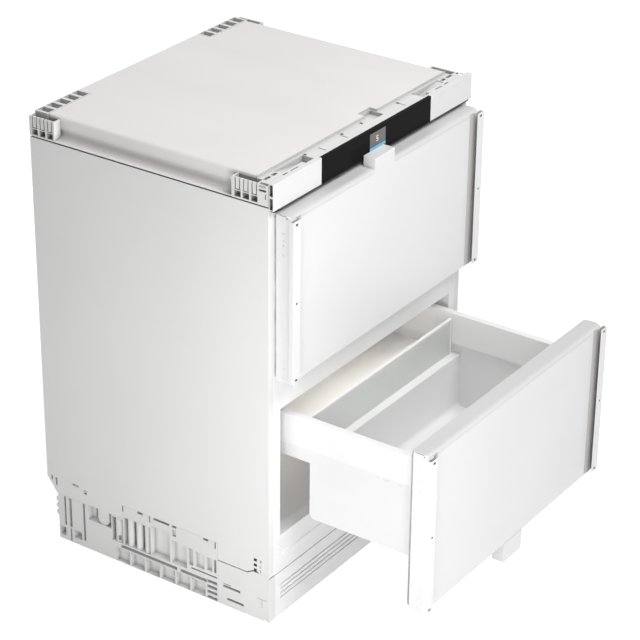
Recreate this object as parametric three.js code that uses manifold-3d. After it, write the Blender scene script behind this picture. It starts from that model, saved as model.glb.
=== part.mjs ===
// Built-in undercounter refrigerator with two drawers, shown with the lower drawer pulled out.
// Millimetres, +Z up. The drawers face -Y and X runs across the front. The origin is at floor level,
// under the middle of the whole, with the open drawer. Pieces are placed from the cabinet's own middle.
import * as THREE from 'three';
import { mergeVertices } from 'three/addons/utils/BufferGeometryUtils.js';
import Module from 'manifold-3d';

const wasm = await Module();
wasm.setup();

// ---------------------------------------------------------------- driving dimensions

// cabinet
const bodyWidth = 597;
const bodyDepth = 500;
const plinthHeight = 92;
const topHeight = 43; // from the side panels' top edge to the top cover's face
const sheet = 1.2; // painted steel sheet
const seat = 0.3; // gap between pieces that rest on each other
const floorGap = 2; // the plinth stands this far off the floor
const flangeWidth = 14; // the side panels fold round onto the front
const seam = 2.4; // open seam between the side panels and the pieces over and under them
const seamDepth = 4;

// drawer fronts
const frontHeight = 302;
const frontThickness = 29;
const frontLift = 44; // the lower front's lower edge above the plinth
const frontGap = 44; // between the two fronts
const frontTopGap = 13; // from the upper front to the side panels' top edge
const frontMargin = 14.5; // from a front's side to the cabinet's side
const frontStandoff = 5; // the closed front stands this far off the cabinet's face
const frontEdgeRadius = 8;
const frontEdgeChamfer = 2;
const plugDepth = 8;
const plugClearance = 4;
const gasketWidth = 18;
const gasketInset = 1.5; // from the front's outline
const lowerDrawerOpen = 272;
const sideHoleRadius = 1.8;
const sideHoleDepth = 1.2;
const sideHolesLow = [8, 25, 38]; // above the front's lower edge
const sideHolesHigh = [30, 42, 51, 69]; // below its upper edge

// brackets at the middle of the drawer fronts
const bracketWidth = 60;
const bracketDepth = 23;
const bracketWall = 3;
const bracketFloor = 6;
const upperBracketRise = 19;
const upperBracketX = -14;
const lowerBracketDrop = 39;
const lowerBracketX = 8;
const lowerBracketSetback = 1;

// fixing rails on the drawer fronts
const railWidth = 20;
const railStandoff = 9.5;
const railOverhang = 6; // beyond the drawer front's side
const railWall = 1.4;
const railEndMargin = 4;
const railScrewMargin = 6;
const railSlotLength = 8;
const railSlotHeight = 4;
const railHoleRadius = 2.2;

// cavities
const stileWidth = 33.5; // from the openings to the cabinet's side
const openingLift = 30; // the opening's lower edge above the drawer front's lower edge
const openingDrop = 22; // its upper edge under the front's upper edge
const frameDepth = 24;
const linerWall = 1.5;
const linerFlange = 24; // the liner's front flange beyond the openings
const linerFlangeTop = 20;
const rearWall = 50; // from the cavities' back wall to the cabinet's back
const stepDepth = 220; // the lower cavity's deep part, in front of the machine space
const stepHeight = 134; // the shallow part's floor above the deep part's floor
const insulationUnderCavity = 36;
const insulationAtStep = 38;

// drawer boxes
const boxMargin = 20; // from a drawer side's outer face to the opening's edge
const boxTopDrop = 40; // the drawer sides' top under the front's upper edge
const boxRearGap = 15;
const sideHeight = 56;
const sideWidth = 14;
const tubFloorGap = 39; // the tub's underside above the opening's lower edge
const tubWall = 2;
const tubInset = 4.5; // the tub's side lies this far inside the drawer side's face
const tubRimDrop = 4; // front and back walls stop this far under the drawer sides' top
const tubTuck = 2.5; // the tub's sides reach this far up into the drawer sides
const tubCorner = 10;
const tubStepClearance = 16;
const tubShelfClearance = 14;
const dividerThickness = 4;
const dividerDrop = 10;
const dividerClearance = 2;
const dividerSetback = 14; // behind the tub's step

// telescopic runners
const runnerWall = 1.2;
const runnerPlay = 0.6;
const runnerFrontGap = 3;
const runnerRearGap = 13;
const runnerTopGap = 4.8;
const runnerHeight = 46;
const runnerFootDrop = 10;
const runnerFixingHeight = 20;
const runnerNesting = 1.5; // each channel's lips stop this far short of the next one's

// control strip and top
const fasciaDepth = 9.7;
const fasciaCarrier = 3.7;
const fasciaDrop = 3; // the fascia's lower edge under the side panels' top edge
const fasciaProud = 1; // its upper edge above the top cover
const fasciaWall = 1.8;
const fasciaRib = 4;
const fasciaHollow = 18;
const glassWidth = 329;
const moduleWidth = 120;
const moduleDepth = 24;
const moduleHeight = 31;
const moduleLift = 2;
const topRailDepth = 35;
const coverInset = 17; // the top cover's wall stands in from the side panels
const coverWall = 3;
const coverLedge = 4.5;
const coverHollow = 12; // height of the wall's deepest line
const coverUndercut = 3.5; // how deep the hollow curve is cut in under the wall
const coverCurve = 25; // height where the hollow ends and the straight wall starts
const coverCurveSteps = 4;
const coverEdge = 5;
const blockDrop = 4.5; // corner blocks' outer walls and the front rail end this far under the top cover
const rearBlockLength = 55;
const rearBlockDepth = 29;
const rearBlockReach = 129;
const rearSlotCount = 5;
const rearSlotWall = 7;
const rearSlotDepth = 9;
const rearSlotEnd = 1.5;
const blockWall = 3;
const frontBlockLength = 73;
const pocketCount = 3;
const pocketPitch = 16.7;
const pocketWidth = 12.6;
const pocketHeight = 10.5;
const pocketDepth = 9;
const pocketRise = 5;
const pocketMargin = 5.6; // from a block's end
const pocketSlit = 1.6;
const uprightWidth = 2;
const ribWidth = 2;
const grooveWall = 3.6; // between a block's groove and its outer face
const grooveDepth = 16;

// base
const plinthWall = 3.5;
const plinthSideWidth = 40.5;
const coverLength = 110.7; // side cover plates behind the front corners
const plinthSideEnd = 24; // the ribbed mouldings stop this far short of the back
const grilleMargin = 19; // from the grille's end to the cabinet's side
const grilleSlits = 4;
const slitHeight = 3.6;
const slitPitch = 9.2;
const slitTop = 66;
const slitMargin = 15.5;
const trayFloor = 12;
const trayRearGap = 2;
const trayFrontLip = 8;
const trayRearLip = 24;
const footRadius = 17;
const footThickness = 8;
const footStemRadius = 4;
const footStemTop = 88;
const footPlay = 0.6;
const footInsetX = 64;
const footInsetY = 35;
const sleeveRadius = 9;
const sleeveHeight = 80;

// refrigeration
const compressorRadius = 76;
const compressorHeight = 165;
const compressorInset = 186.5; // from the cabinet's side to its axis
const coolingInset = 168.5; // to the axis of the fan and the condenser
const machineRearGap = 29;
const grommetHeight = 14;
const grommetRadius = 12;
const platformThickness = 4;
const platformMargin = 22;
const terminalDepth = 16;
const terminalWidth = 48;
const terminalHeight = 60;
const terminalLift = 50;
const dripTrayWidth = 156;
const dripTrayDepth = 132;
const dripTrayHeight = 28;
const dripTrayWall = 2;
const fanRadius = 62;
const fanTipGap = 4;
const fanHubRadius = 17;
const fanThickness = 12;
const fanBlades = 5;
const bladeWidth = 34;
const bladeThickness = 2.2;
const bladePitch = 0.95; // radians
const shroudMargin = 10;
const shroudDepth = 24;
const spokeWidth = 8;
const spokeThickness = 4;
const motorRadius = 20;
const motorDepth = 8;
const shaftRadius = 3;
const condenserDepth = 50;
const condenserWidth = 180;
const finCount = 19;
const finThickness = 2;
const headerHeight = 8;
const headerInset = 12;
const inletInset = 94.5;
const inletHeight = 62;
const inletMargin = 8; // the inlet's plate reaches this far past the inlet
const inletBody = [34, 22, 30];
const inletNeck = [20, 18];
const inletSocket = [12, 12, 10];
const plateWidth = 400;
const plateThickness = 2.5;
const plateMargin = 20;
const plateRidges = 6;
const ridgeHeight = 8;
const ridgeRise = 3;
const lightLength = 300;
const lightWidth = 16;
const lightThickness = 3;
const lightSetback = 12;

// ---------------------------------------------------------------- derived places

const half = bodyWidth / 2;
const front = -bodyDepth / 2;
const back = bodyDepth / 2;
const lowerFrontBase = plinthHeight + frontLift;
const upperFrontBase = lowerFrontBase + frontHeight + frontGap;
const caseTop = upperFrontBase + frontHeight + frontTopGap;
const coverTop = caseTop + topHeight;
const openingHalf = half - stileWidth;
const openingHeight = frontHeight - openingLift - openingDrop;
const upperOpening = upperFrontBase + openingLift;
const lowerOpening = lowerFrontBase + openingLift;
const linerFront = front + frameDepth + seat;
const cavityBack = back - rearWall;
const stepY = linerFront + stepDepth;
const stepZ = lowerOpening + stepHeight;
const foamFront = linerFront + linerWall + seat;
const foamBase = lowerOpening - linerWall - seat - insulationUnderCavity;
const machineFront = stepY + linerWall + seat + insulationAtStep;
const machineTop = stepZ - linerWall - seat - insulationUnderCavity;
const sideHalf = half - sheet - seat; // inner face of the side panels, with its seat
const frontHalf = half - frontMargin;
const frontBack = -frontStandoff; // drawer pieces are placed from the cabinet's front plane
const frontFace = frontBack - frontThickness;
const boxHalf = openingHalf - boxMargin;
const boxTop = frontHeight - boxTopDrop; // drawer pieces are placed from the front's lower edge
const boxFront = frontBack + plugDepth + seat;
const boxBack = cavityBack - front - boxRearGap;
const plinthSideFront = front + coverLength;
const plinthSideBack = back - plinthSideEnd;
const plinthInner = half - plinthSideWidth;
const trayWallX = plinthInner - seat;
const grilleHalf = half - grilleMargin;

// ---------------------------------------------------------------- looks

const look = (color, roughness, metalness = 0) =>
  new THREE.MeshStandardMaterial({ color, roughness, metalness });
const whitePaint = look(0xe9e9e8, 0.45);
const frontPaint = look(0xf1f1f0, 0.4);
const whitePlastic = look(0xe4e4e1, 0.6);
const linerPlastic = look(0xe2e0dc, 0.5);
const tubPlastic = look(0xf0f0ef, 0.45);
const foamYellow = look(0xd9cfae, 0.9);
const zincSteel = look(0xb9bbbd, 0.4, 0.9);
const blackGlass = look(0x0c0c0e, 0.12);
const blackSteel = look(0x1b1c1e, 0.45, 0.4);
const darkPlastic = look(0x2b2c2e, 0.6);
const gasketGrey = look(0x55575a, 0.8);
const aluminium = look(0xc9ccd0, 0.4, 0.8);
const frosted = look(0xdfe6e6, 0.35);
const lightWhite = look(0xfafaff, 0.4);

// ---------------------------------------------------------------- solids

function solid(geometry) {
  geometry.deleteAttribute('normal');
  geometry.deleteAttribute('uv');
  const welded = mergeVertices(geometry, 1e-4);
  return new wasm.Manifold(new wasm.Mesh({
    numProp: 3,
    vertProperties: new Float32Array(welded.attributes.position.array),
    triVerts: new Uint32Array(welded.index.array),
  }));
}

function toGeometry(shape) {
  const mesh = shape.getMesh();
  const geometry = new THREE.BufferGeometry();
  geometry.setAttribute('position', new THREE.BufferAttribute(new Float32Array(mesh.vertProperties), 3));
  geometry.setIndex(new THREE.BufferAttribute(new Uint32Array(mesh.triVerts), 1));
  geometry.computeVertexNormals();
  return geometry;
}

const join = (shapes) => shapes.reduce((sum, shape) => sum.add(shape));
const cut = (shape, tools) => tools.reduce((left, tool) => left.subtract(tool), shape);
const range = (count) => Array.from({ length: count }, (_, i) => i);

function box([x0, x1], [y0, y1], [z0, z1]) {
  const geometry = new THREE.BoxGeometry(Math.abs(x1 - x0), y1 - y0, z1 - z0);
  geometry.translate((x0 + x1) / 2, (y0 + y1) / 2, (z0 + z1) / 2);
  return solid(geometry);
}

// a box on one side of the cabinet, from its inner to its outer distance from the middle
const sideBox = (side, [inner, outer], y, z) => box([side * inner, side * outer], y, z);

function outline(points) {
  const shape = new THREE.Shape();
  points.forEach(([u, v], i) => (i ? shape.lineTo(u, v) : shape.moveTo(u, v)));
  return shape;
}

const axes = {
  x: [new THREE.Vector3(0, 1, 0), new THREE.Vector3(0, 0, 1), new THREE.Vector3(1, 0, 0)],
  y: [new THREE.Vector3(-1, 0, 0), new THREE.Vector3(0, 0, 1), new THREE.Vector3(0, 1, 0)],
  z: [new THREE.Vector3(1, 0, 0), new THREE.Vector3(0, 1, 0), new THREE.Vector3(0, 0, 1)],
};

// an outline pushed along an axis: across x its points are (y, z), across y (-x, z), across z (x, y)
function prism(axis, shape, [from, to]) {
  const geometry = new THREE.ExtrudeGeometry(shape,
    { depth: to - from, bevelEnabled: false, curveSegments: 6 });
  geometry.translate(0, 0, from);
  geometry.applyMatrix4(new THREE.Matrix4().makeBasis(...axes[axis]));
  return solid(geometry);
}

function rod(axis, radius, [from, to], [u, v], sides = 16) {
  const geometry = new THREE.CylinderGeometry(radius, radius, to - from, sides);
  geometry.rotateX(Math.PI / 2);
  geometry.translate(u, v, (from + to) / 2);
  geometry.applyMatrix4(new THREE.Matrix4().makeBasis(...axes[axis]));
  return solid(geometry);
}

function part(parent, name, shape, material) {
  const mesh = new THREE.Mesh(toGeometry(shape), material);
  mesh.name = name;
  parent.add(mesh);
}

const sides = [['left', -1], ['right', 1]];

// ---------------------------------------------------------------- casing

// the side panel's lower edge steps over the plinth's mouldings
const panelRearCorner = 22;
const panelRearRise = 30;
const panelRearEdge = 97;
const panelMidEdge = 126;
const panelMidEnd = 175; // from the back
const panelFrontStep = 35; // from the front
const panelStepRun = 11;
const panelFrontEdge = 99;
const rearCorner = back - panelRearCorner;
const midEnd = back - panelMidEnd;

// two columns of fixing holes near the panel's front lower corner
const holeColumns = [{ fromFront: 25.5, length: 7 }, { fromFront: 16, length: 4 }];
const holeRows = 3;
const holePitch = 10.3;
const holeHeight = 6;
const holeBase = 98.5;

function panelHoles(side, reach) {
  return holeColumns.flatMap(({ fromFront, length }) => range(holeRows).map((row) => {
    const z = holeBase + row * holePitch;
    return sideBox(side, [half - reach, half + 1], [front + fromFront, front + fromFront + length],
      [z, z + holeHeight]);
  }));
}

// narrow slots near the panel's rear lower corner
const panelSlots = [
  { fromBack: 8, length: 5, z: 122, height: 9 },
  { fromBack: 18.5, length: 5, z: 113, height: 16 },
  { fromBack: 59, length: 15, z: 125.5, height: 4.6 },
  { fromBack: 85, length: 8, z: 117, height: 4 },
  { fromBack: 85, length: 8, z: 123, height: 1.8 },
];

function panelRearSlots(side, reach) {
  return panelSlots.map(({ fromBack, length, z, height }) =>
    sideBox(side, [half - reach, half + 1], [back - fromBack - length, back - fromBack], [z, z + height]));
}

function sidePanel(side) {
  const edge = [
    [front, panelFrontEdge], [front + panelFrontStep, panelFrontEdge],
    [front + panelFrontStep + panelStepRun, plinthHeight],
    [plinthSideFront - seat, plinthHeight], [plinthSideFront - seat, panelMidEdge],
    [midEnd, panelMidEdge], [midEnd, panelRearEdge], [rearCorner, panelRearEdge],
    [back, panelRearEdge + panelRearRise], [back, caseTop], [front, caseTop],
  ];
  const skin = prism('x', outline(edge), side > 0 ? [half - sheet, half] : [-half, sheet - half]);
  const flange = sideBox(side, [half - flangeWidth, half], [front, front + sheet], [panelFrontEdge, caseTop]);
  return cut(skin.add(flange), [...panelHoles(side, 2 * sheet), ...panelRearSlots(side, 2 * sheet)]);
}

function backPanel() {
  return box([-sideHalf, sideHalf], [back - sheet, back], [machineTop, caseTop]);
}

const blockBase = caseTop + seat;
const blockTop = coverTop - blockDrop;
const blockInner = half - coverInset + seat;

// the recess for a cover's lifting tongue, in the front rail and the top cover's edge
const tongueX = [26, 62];
const tongueReach = 49;
const tongueWall = 2;
const tongueDepth = 7;
const tongueFront = 19;

const coverWallInside = half - coverInset - coverUndercut - coverWall;

// the cover's side wall seen from the front: a ledge, a hollow curve and the straight wall over it
function coverProfile(wall, rise) {
  const deepest = wall - coverUndercut;
  const steps = range(coverCurveSteps + 1).map((i) => (i / coverCurveSteps) * (Math.PI / 2));
  const lower = steps.map((t) => [deepest + (half - 1 - deepest) * (1 - Math.sin(t)),
    coverLedge + (coverHollow - coverLedge) * (1 - Math.cos(t))]);
  const upper = steps.slice(1).map((t) => [deepest + coverUndercut * Math.sin(t) ** 2,
    coverHollow + (coverCurve - coverHollow) * (t / (Math.PI / 2))]);
  return [[half, 0], [half, coverLedge - 1], ...lower, ...upper, [wall, rise - coverEdge],
    [wall - coverEdge / 3, rise - coverEdge / 3], [wall - coverEdge, rise]];
}

function topCover() {
  const wall = half - coverInset;
  const rise = topHeight - seat;
  const curve = coverProfile(wall, rise);
  const inside = [[coverWallInside, rise - coverWall], [coverWallInside, 0]];
  const right = curve.map(([x, z]) => [-x, blockBase + z]);
  const left = curve.map(([x, z]) => [x, blockBase + z]).reverse();
  const hollowLeft = inside.map(([x, z]) => [x, blockBase + z]).reverse();
  const hollowRight = inside.map(([x, z]) => [-x, blockBase + z]);
  const shell = prism('y', outline([...right, ...left, ...hollowLeft, ...hollowRight]),
    [front + topRailDepth + seat, back]);
  const rearEnd = box([-coverWallInside - 1, coverWallInside + 1], [back - coverWall, back],
    [blockBase, coverTop - coverWall + 1]);
  const frontY = front + topRailDepth + seat;
  const frontEnd = box([-coverWallInside - 1, coverWallInside + 1], [frontY, frontY + coverWall],
    [blockBase, coverTop - coverWall + 1]);
  const z = [caseTop, coverTop + 1];
  const corners = sides.flatMap(([, side]) => [
    sideBox(side, [half - rearBlockReach - seat, half + 1], [back - rearBlockDepth - seat, back + 1], z),
    sideBox(side, [wall, half + 1], [back - rearBlockLength - seat, back + 1], z),
    sideBox(side, [wall, half + 1], [front, front + frontBlockLength + seat], z),
  ]);
  const tongue = box([tongueX[0] - seat, tongueX[1] + seat], [front, front + tongueReach + seat],
    [coverTop - 3 * tongueDepth - seat, coverTop + 1]);
  return cut(join([shell, rearEnd, frontEnd]), [...corners, tongue, ...topSeams()]);
}

// square pockets in a corner block's outer face, each with a slit and two upright grooves above it,
// from the block's rear end
function pockets(side, rearEnd) {
  const base = blockBase + pocketRise;
  const slitBase = base + pocketHeight + pocketSlit;
  const deep = [half - pocketDepth, half + 1];
  const shallow = [half - blockWall, half + 1];
  return range(pocketCount).flatMap((i) => {
    const y = rearEnd - pocketMargin - pocketWidth - i * pocketPitch;
    const uprights = [y + ribWidth / 2, y + pocketWidth - uprightWidth - ribWidth / 2].map((start) =>
      sideBox(side, shallow, [start, start + uprightWidth], [slitBase + ribWidth, blockTop + 1]));
    return [
      sideBox(side, deep, [y, y + pocketWidth], [base, base + pocketHeight]),
      sideBox(side, shallow, [y, y + pocketWidth], [slitBase, slitBase + pocketSlit]),
      ...uprights,
    ];
  });
}

// the open seam that the cover and its blocks leave over the side panels
function topSeams() {
  return sides.map(([, side]) => sideBox(side, [half - seamDepth, half + 1], [front - 1, back + 1],
    [caseTop, caseTop + seam]));
}

// the groove between a corner block's outer wall and the cover's side wall
function blockGroove(side, y) {
  return sideBox(side, [blockInner - 1, half - grooveWall], y, [blockTop - grooveDepth, coverTop + 1]);
}

function rearBlock(side) {
  const leg = sideBox(side, [blockInner, half], [back - rearBlockLength, back], [blockBase, blockTop]);
  const arm = sideBox(side, [half - rearBlockReach, blockInner + 1], [back - rearBlockDepth, back],
    [blockBase, coverTop]);
  const slotPitch = (rearBlockReach - coverInset) / rearSlotCount;
  const slots = range(rearSlotCount).map((i) => {
    const inner = half - rearBlockReach + blockWall + i * slotPitch;
    return sideBox(side, [inner, inner + slotPitch - rearSlotWall],
      [back - rearBlockDepth + blockWall, back - rearSlotEnd], [coverTop - rearSlotDepth, coverTop + 1]);
  });
  const groove = blockGroove(side, [back - rearBlockLength + blockWall, back - blockWall]);
  return cut(leg, [groove, ...topSeams(), ...pockets(side, back)]).add(cut(arm, slots));
}

// the front block's end holds a catch for the control strip
const catchLength = 20;
const catchDepth = 6;
const catchSlits = 2;
const catchSlitPitch = 7;
const catchSlitHeight = 3.5;
const catchSlitBase = 26.5;
const catchSlitLength = 14.5;
const notchFrom = 4.2;
const notchWidth = 2;
const notchZ = [14, 23]; // above the block's underside

function frontBlock(side) {
  const y = [front + seat, front + frontBlockLength];
  const block = sideBox(side, [blockInner, half], y, [blockBase, blockTop]);
  const groove = blockGroove(side, [y[0] + catchLength + blockWall, y[1] - blockWall]);
  const deep = [half - pocketDepth, half + 1];
  const slits = range(catchSlits).map((i) => {
    const z = blockBase + catchSlitBase + i * catchSlitPitch;
    return sideBox(side, deep, [y[0] + notchFrom, y[0] + notchFrom + catchSlitLength],
      [z, z + catchSlitHeight]);
  });
  const catchPocket = sideBox(side, [half - pocketDepth, half - blockWall / 2],
    [y[0] + blockWall, y[0] + catchLength], [blockTop - catchDepth, blockTop + 1]);
  const notch = sideBox(side, deep, [y[0] + notchFrom, y[0] + notchFrom + notchWidth],
    notchZ.map((rise) => blockBase + rise));
  return cut(block, [groove, ...slits, catchPocket, notch, ...topSeams(), ...pockets(side, y[1])]);
}

// a sloping trough in the front rail beside the control strip, deeper towards its end in the middle
const troughEnd = 244;
const troughStart = 164;
const troughDepth = 14;
const troughShallow = 1.5;
const troughY = [14, 29];
const troughBox = { from: 164, length: 22, y: [4, 27], depth: 8 };

function trough(side) {
  const outer = side * troughEnd;
  const inner = side * troughStart;
  const shape = outline([[-outer, blockTop + 1], [-inner, blockTop + 1], [-inner, blockTop - troughDepth],
    [-outer, blockTop - troughShallow]]);
  const { from, length, y, depth } = troughBox;
  return prism('y', shape, troughY.map((value) => front + value))
    .add(sideBox(side, [from, from + length], y.map((value) => front + value),
      [blockTop - depth, blockTop + 1]));
}

const clipX = [-160, -54, 4, 115, 166];
const clipSize = 6;
const clipY = 24;
const clipDepth = 8;
const jointX = [-124, -60, 115];
const jointWidth = 2;
const jointDepth = 3;
const jointY = [10, 26];
// sockets at the rail's ends, from the cabinet's side and from its front
const sockets = [{ from: 19, length: 15.5, y: [18.5, 24.5] }, { from: 39.5, length: 12, y: [18.5, 24.5] },
  { from: 51, length: 12, y: [5.5, 9.5] }, { from: 72, length: 20, y: [5.5, 9] }];

function topFrontRail() {
  const y = [front + seat, front + topRailDepth];
  const rail = box([seat - blockInner, blockInner - seat], y, [blockBase, blockTop]);
  const tongue = box(tongueX, [y[1] - 1, front + tongueReach], [coverTop - 3 * tongueDepth, blockTop]);
  const recess = box([tongueX[0] + tongueWall, tongueX[1] - tongueWall],
    [front + tongueFront, front + tongueReach - tongueWall], [blockTop - tongueDepth, blockTop + 1]);
  const clips = clipX.map((x) => box([x - clipSize / 2, x + clipSize / 2],
    [front + clipY, front + clipY + clipSize], [blockTop - clipDepth, blockTop + 1]));
  const joints = jointX.map((x) => box([x - jointWidth / 2, x + jointWidth / 2],
    jointY.map((value) => front + value), [blockTop - jointDepth, blockTop + 1]));
  const holes = sides.flatMap(([, side]) => sockets.map(({ from, length, y: span }) =>
    sideBox(side, [half - from - length, half - from], span.map((value) => front + value),
      [blockTop - clipDepth, blockTop + 1])));
  const housing = box([-moduleWidth / 2 - seat, moduleWidth / 2 + seat],
    [front, front + moduleDepth + seat], [blockBase + moduleLift, blockBase + moduleLift + moduleHeight]);
  const troughs = sides.map(([, side]) => trough(side));
  return cut(rail.add(tongue), [recess, ...clips, ...joints, ...holes, housing, ...troughs]);
}

function controlModule() {
  return box([-moduleWidth / 2, moduleWidth / 2], [front + seat, front + moduleDepth],
    [blockBase + moduleLift + seat, blockBase + moduleLift + moduleHeight - seat]);
}

const fasciaZ = [caseTop - fasciaDrop, coverTop + fasciaProud];
const fasciaFront = front - seat - fasciaDepth;
const carrierFront = front - seat - fasciaCarrier;

function fascia() {
  const carrier = box([-half, half], [carrierFront, front - seat], fasciaZ);
  const caps = sides.map(([, side]) =>
    sideBox(side, [glassWidth / 2 + seat, half], [fasciaFront, carrierFront], fasciaZ));
  const mid = (fasciaZ[0] + fasciaZ[1]) / 2;
  const spans = [[fasciaZ[0] + fasciaWall, mid - fasciaRib / 2],
    [mid + fasciaRib / 2, fasciaZ[1] - fasciaWall]];
  const y = [fasciaFront + fasciaWall, front - seat - fasciaWall];
  const hollows = sides.flatMap(([, side]) => spans.map((span) =>
    sideBox(side, [half - fasciaHollow, half + 1], y, span)));
  return cut(join([carrier, ...caps]), hollows);
}

function controlGlass() {
  return box([-glassWidth / 2, glassWidth / 2], [fasciaFront, carrierFront - seat], fasciaZ);
}

// a step pressed into the frame's bottom rail, and the marks at its ends
const frameStep = [126, 150];
const frameStepDepth = 2;
const markWidth = 2.5;
const markInset = 5;
const markHeight = 8;

function faceFrame() {
  const z = [plinthHeight + seat, fasciaZ[0] - seat];
  const behind = box([-sideHalf, sideHalf], [front + sheet + seat, front + frameDepth], z);
  const proud = box([flangeWidth + seat - half, half - flangeWidth - seat], [front, front + frameDepth], z);
  const openings = [lowerOpening, upperOpening].map((base) =>
    box([-openingHalf, openingHalf], [front - 1, front + frameDepth + 1], [base, base + openingHeight]));
  const step = box([-openingHalf, openingHalf], [front - 1, front + frameStepDepth], frameStep);
  const marks = sides.map(([, side]) =>
    sideBox(side, [openingHalf + markInset, openingHalf + markInset + markWidth],
      [front - 1, front + frameStepDepth], [frameStep[1] - markHeight, frameStep[1]]));
  const pits = sides.flatMap(([, side]) => panelHoles(side, pocketDepth));
  return cut(behind.add(proud), [...openings, step, ...marks, ...pits]);
}

// ---------------------------------------------------------------- liner and insulation

// the lower cavity's side view, grown by a wall all round
function lowerCavity(grow) {
  return outline([
    [linerFront - 1, lowerOpening - grow], [stepY + grow, lowerOpening - grow], [stepY + grow, stepZ - grow],
    [cavityBack + grow, stepZ - grow], [cavityBack + grow, lowerOpening + openingHeight + grow],
    [linerFront - 1, lowerOpening + openingHeight + grow],
  ]);
}

function cavities(grow) {
  const x = openingHalf + grow;
  return [
    prism('x', lowerCavity(grow), [-x, x]),
    box([-x, x], [linerFront - 1, cavityBack + grow],
      [upperOpening - grow, upperOpening + openingHeight + grow]),
  ];
}

function innerLiner() {
  const reach = openingHalf + linerFlange;
  const flange = box([-reach, reach], [linerFront, linerFront + linerWall],
    [lowerOpening - linerFlange, upperOpening + openingHeight + linerFlangeTop]);
  const trim = box([-half, half], [linerFront - 2, linerFront], [0, coverTop]);
  return cut(join([flange, ...cavities(linerWall)]), [trim, ...cavities(0)]);
}

const plateBase = upperOpening + plateMargin;
const plateTop = upperOpening + openingHeight - plateMargin;
const plateY = cavityBack + linerWall + seat;

function insulationFoam() {
  const rear = back - sheet - seat;
  const top = caseTop - seat;
  const side = outline([
    [foamFront, foamBase], [machineFront, foamBase], [machineFront, machineTop + seat],
    [rear, machineTop + seat], [rear, top], [foamFront, top],
  ]);
  const block = prism('x', side, [-sideHalf, sideHalf]);
  const capHalf = coverWallInside - seat;
  const capY = [front + topRailDepth + coverWall + 2 * seat, back - rearBlockDepth - 2 * seat];
  const cap = box([-capHalf, capHalf], capY, [top - 1, coverTop - coverWall - seat]);
  const tongue = box([tongueX[0] - seat, tongueX[1] + seat], [front, front + tongueReach + seat],
    [coverTop - 3 * tongueDepth - seat, coverTop]);
  const platePocket = box([-plateWidth / 2 - seat, plateWidth / 2 + seat],
    [cavityBack, plateY + plateThickness + ridgeRise + seat], [plateBase, plateTop]);
  return cut(join([block, cap]), [...cavities(linerWall + seat), platePocket, tongue]);
}

function evaporatorPlate() {
  const z = [plateBase + seat, plateTop - seat];
  const pitch = (z[1] - z[0]) / plateRidges;
  const plate = box([-plateWidth / 2, plateWidth / 2], [plateY, plateY + plateThickness], z);
  const ridges = range(plateRidges).map((i) => {
    const low = z[0] + (i + 0.5) * pitch - ridgeHeight / 2;
    return box([ridgeHeight - plateWidth / 2, plateWidth / 2 - ridgeHeight],
      [plateY + plateThickness / 2, plateY + plateThickness + ridgeRise], [low, low + ridgeHeight]);
  });
  return join([plate, ...ridges]);
}

function lightStrip(opening) {
  const top = opening + openingHeight - seat;
  return box([-lightLength / 2, lightLength / 2],
    [linerFront + lightSetback, linerFront + lightSetback + lightWidth], [top - lightThickness, top]);
}

// ---------------------------------------------------------------- plinth
// Places along a moulding are measured from its front end towards the back.

const mouldDepth = 13; // how deep its open bays are
const shadeDepth = 2 * mouldDepth;
const ledgeZ = [34, 40.5];
const ledgeLine = 3;
const ledgeGrooves = [{ from: 25, width: 59 }, { from: 91, width: 129 }];
const ledgeDepth = 12;
const lowBayFrom = 28;
const lowBays = 6;
const lowBayPitch = 34.5;
const bayRib = 4;
const lowShadeWidth = 9;
const lowShadeBase = 13;
const bayFloor = 3;
const stackSlots = 4;
const stackPitch = 11;
const stackHeight = 6;
const stackFrom = 2;
const stackEnd = 24;
const smallBays = [{ from: 3, width: 5.5, z: [61, 88] }, { from: 12.5, width: 11.5, z: [61, 88] },
  { from: 30, width: 19, z: [58.5, 90] }, { from: 54.5, width: 10, z: [57, 91.5] }];
const smallBayDepth = 6;
const smallBayShade = 4.5;
const openBays = [{ from: 69, width: 34, z: [46, 94] }, { from: 107, width: 42, z: [46, 106] }];
const openPatch = { from: 92.5, width: 8, z: [103, 117], depth: 4 };
const bayShade = 6;
const upperLine = { from: 2, width: 57, z: [50.5, 53.5], depth: 4 };
const columnRadius = 6.5;
const columnPitch = 19.5;
const columnCount = 3;
const columnFrom = 151;
const columnTop = 101;
const wideColumnRadius = 9;
const wideColumnFrom = 214;
const eyeHole = { from: 221, width: 5, z: [47, 57] };
const tabRadius = 12.5;
const tabZ = 78;
const tabFrom = 19;
const plateFrom = 241;
const plateLength = 54;
const tabSpaceZ = 66;
const rearSlitFrom = [302.5, 334, 347.5];
const rearSlitWidths = [5, 6.5, 4.2];
const rearSlitBase = [16, 34, 34];
const rearFootBays = [{ from: 312, width: 18, z: [14, 31] }, { from: 336, width: 3, z: [4, 30] },
  { from: 350, width: 13, z: [10, 28] }];
const bumpRadius = 6;
const bumpPitch = 14;
const bumpTop = 84;
const bumpCount = 3;
const edgeSlots = [{ from: 20, width: 12 }, { from: 91, width: 10.5 }, { from: 107, width: 35.5 },
  { from: 167, width: 13 }];
const edgeTicks = [{ from: 4, width: 2.5 }, { from: 150, width: 2.5 }, { from: 212, width: 4 }];
const edgeSlotHeight = 4.2;
const edgeTickHeight = 9;
const edgeMargin = 0.8;
const carrierRearGap = 3;

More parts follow.
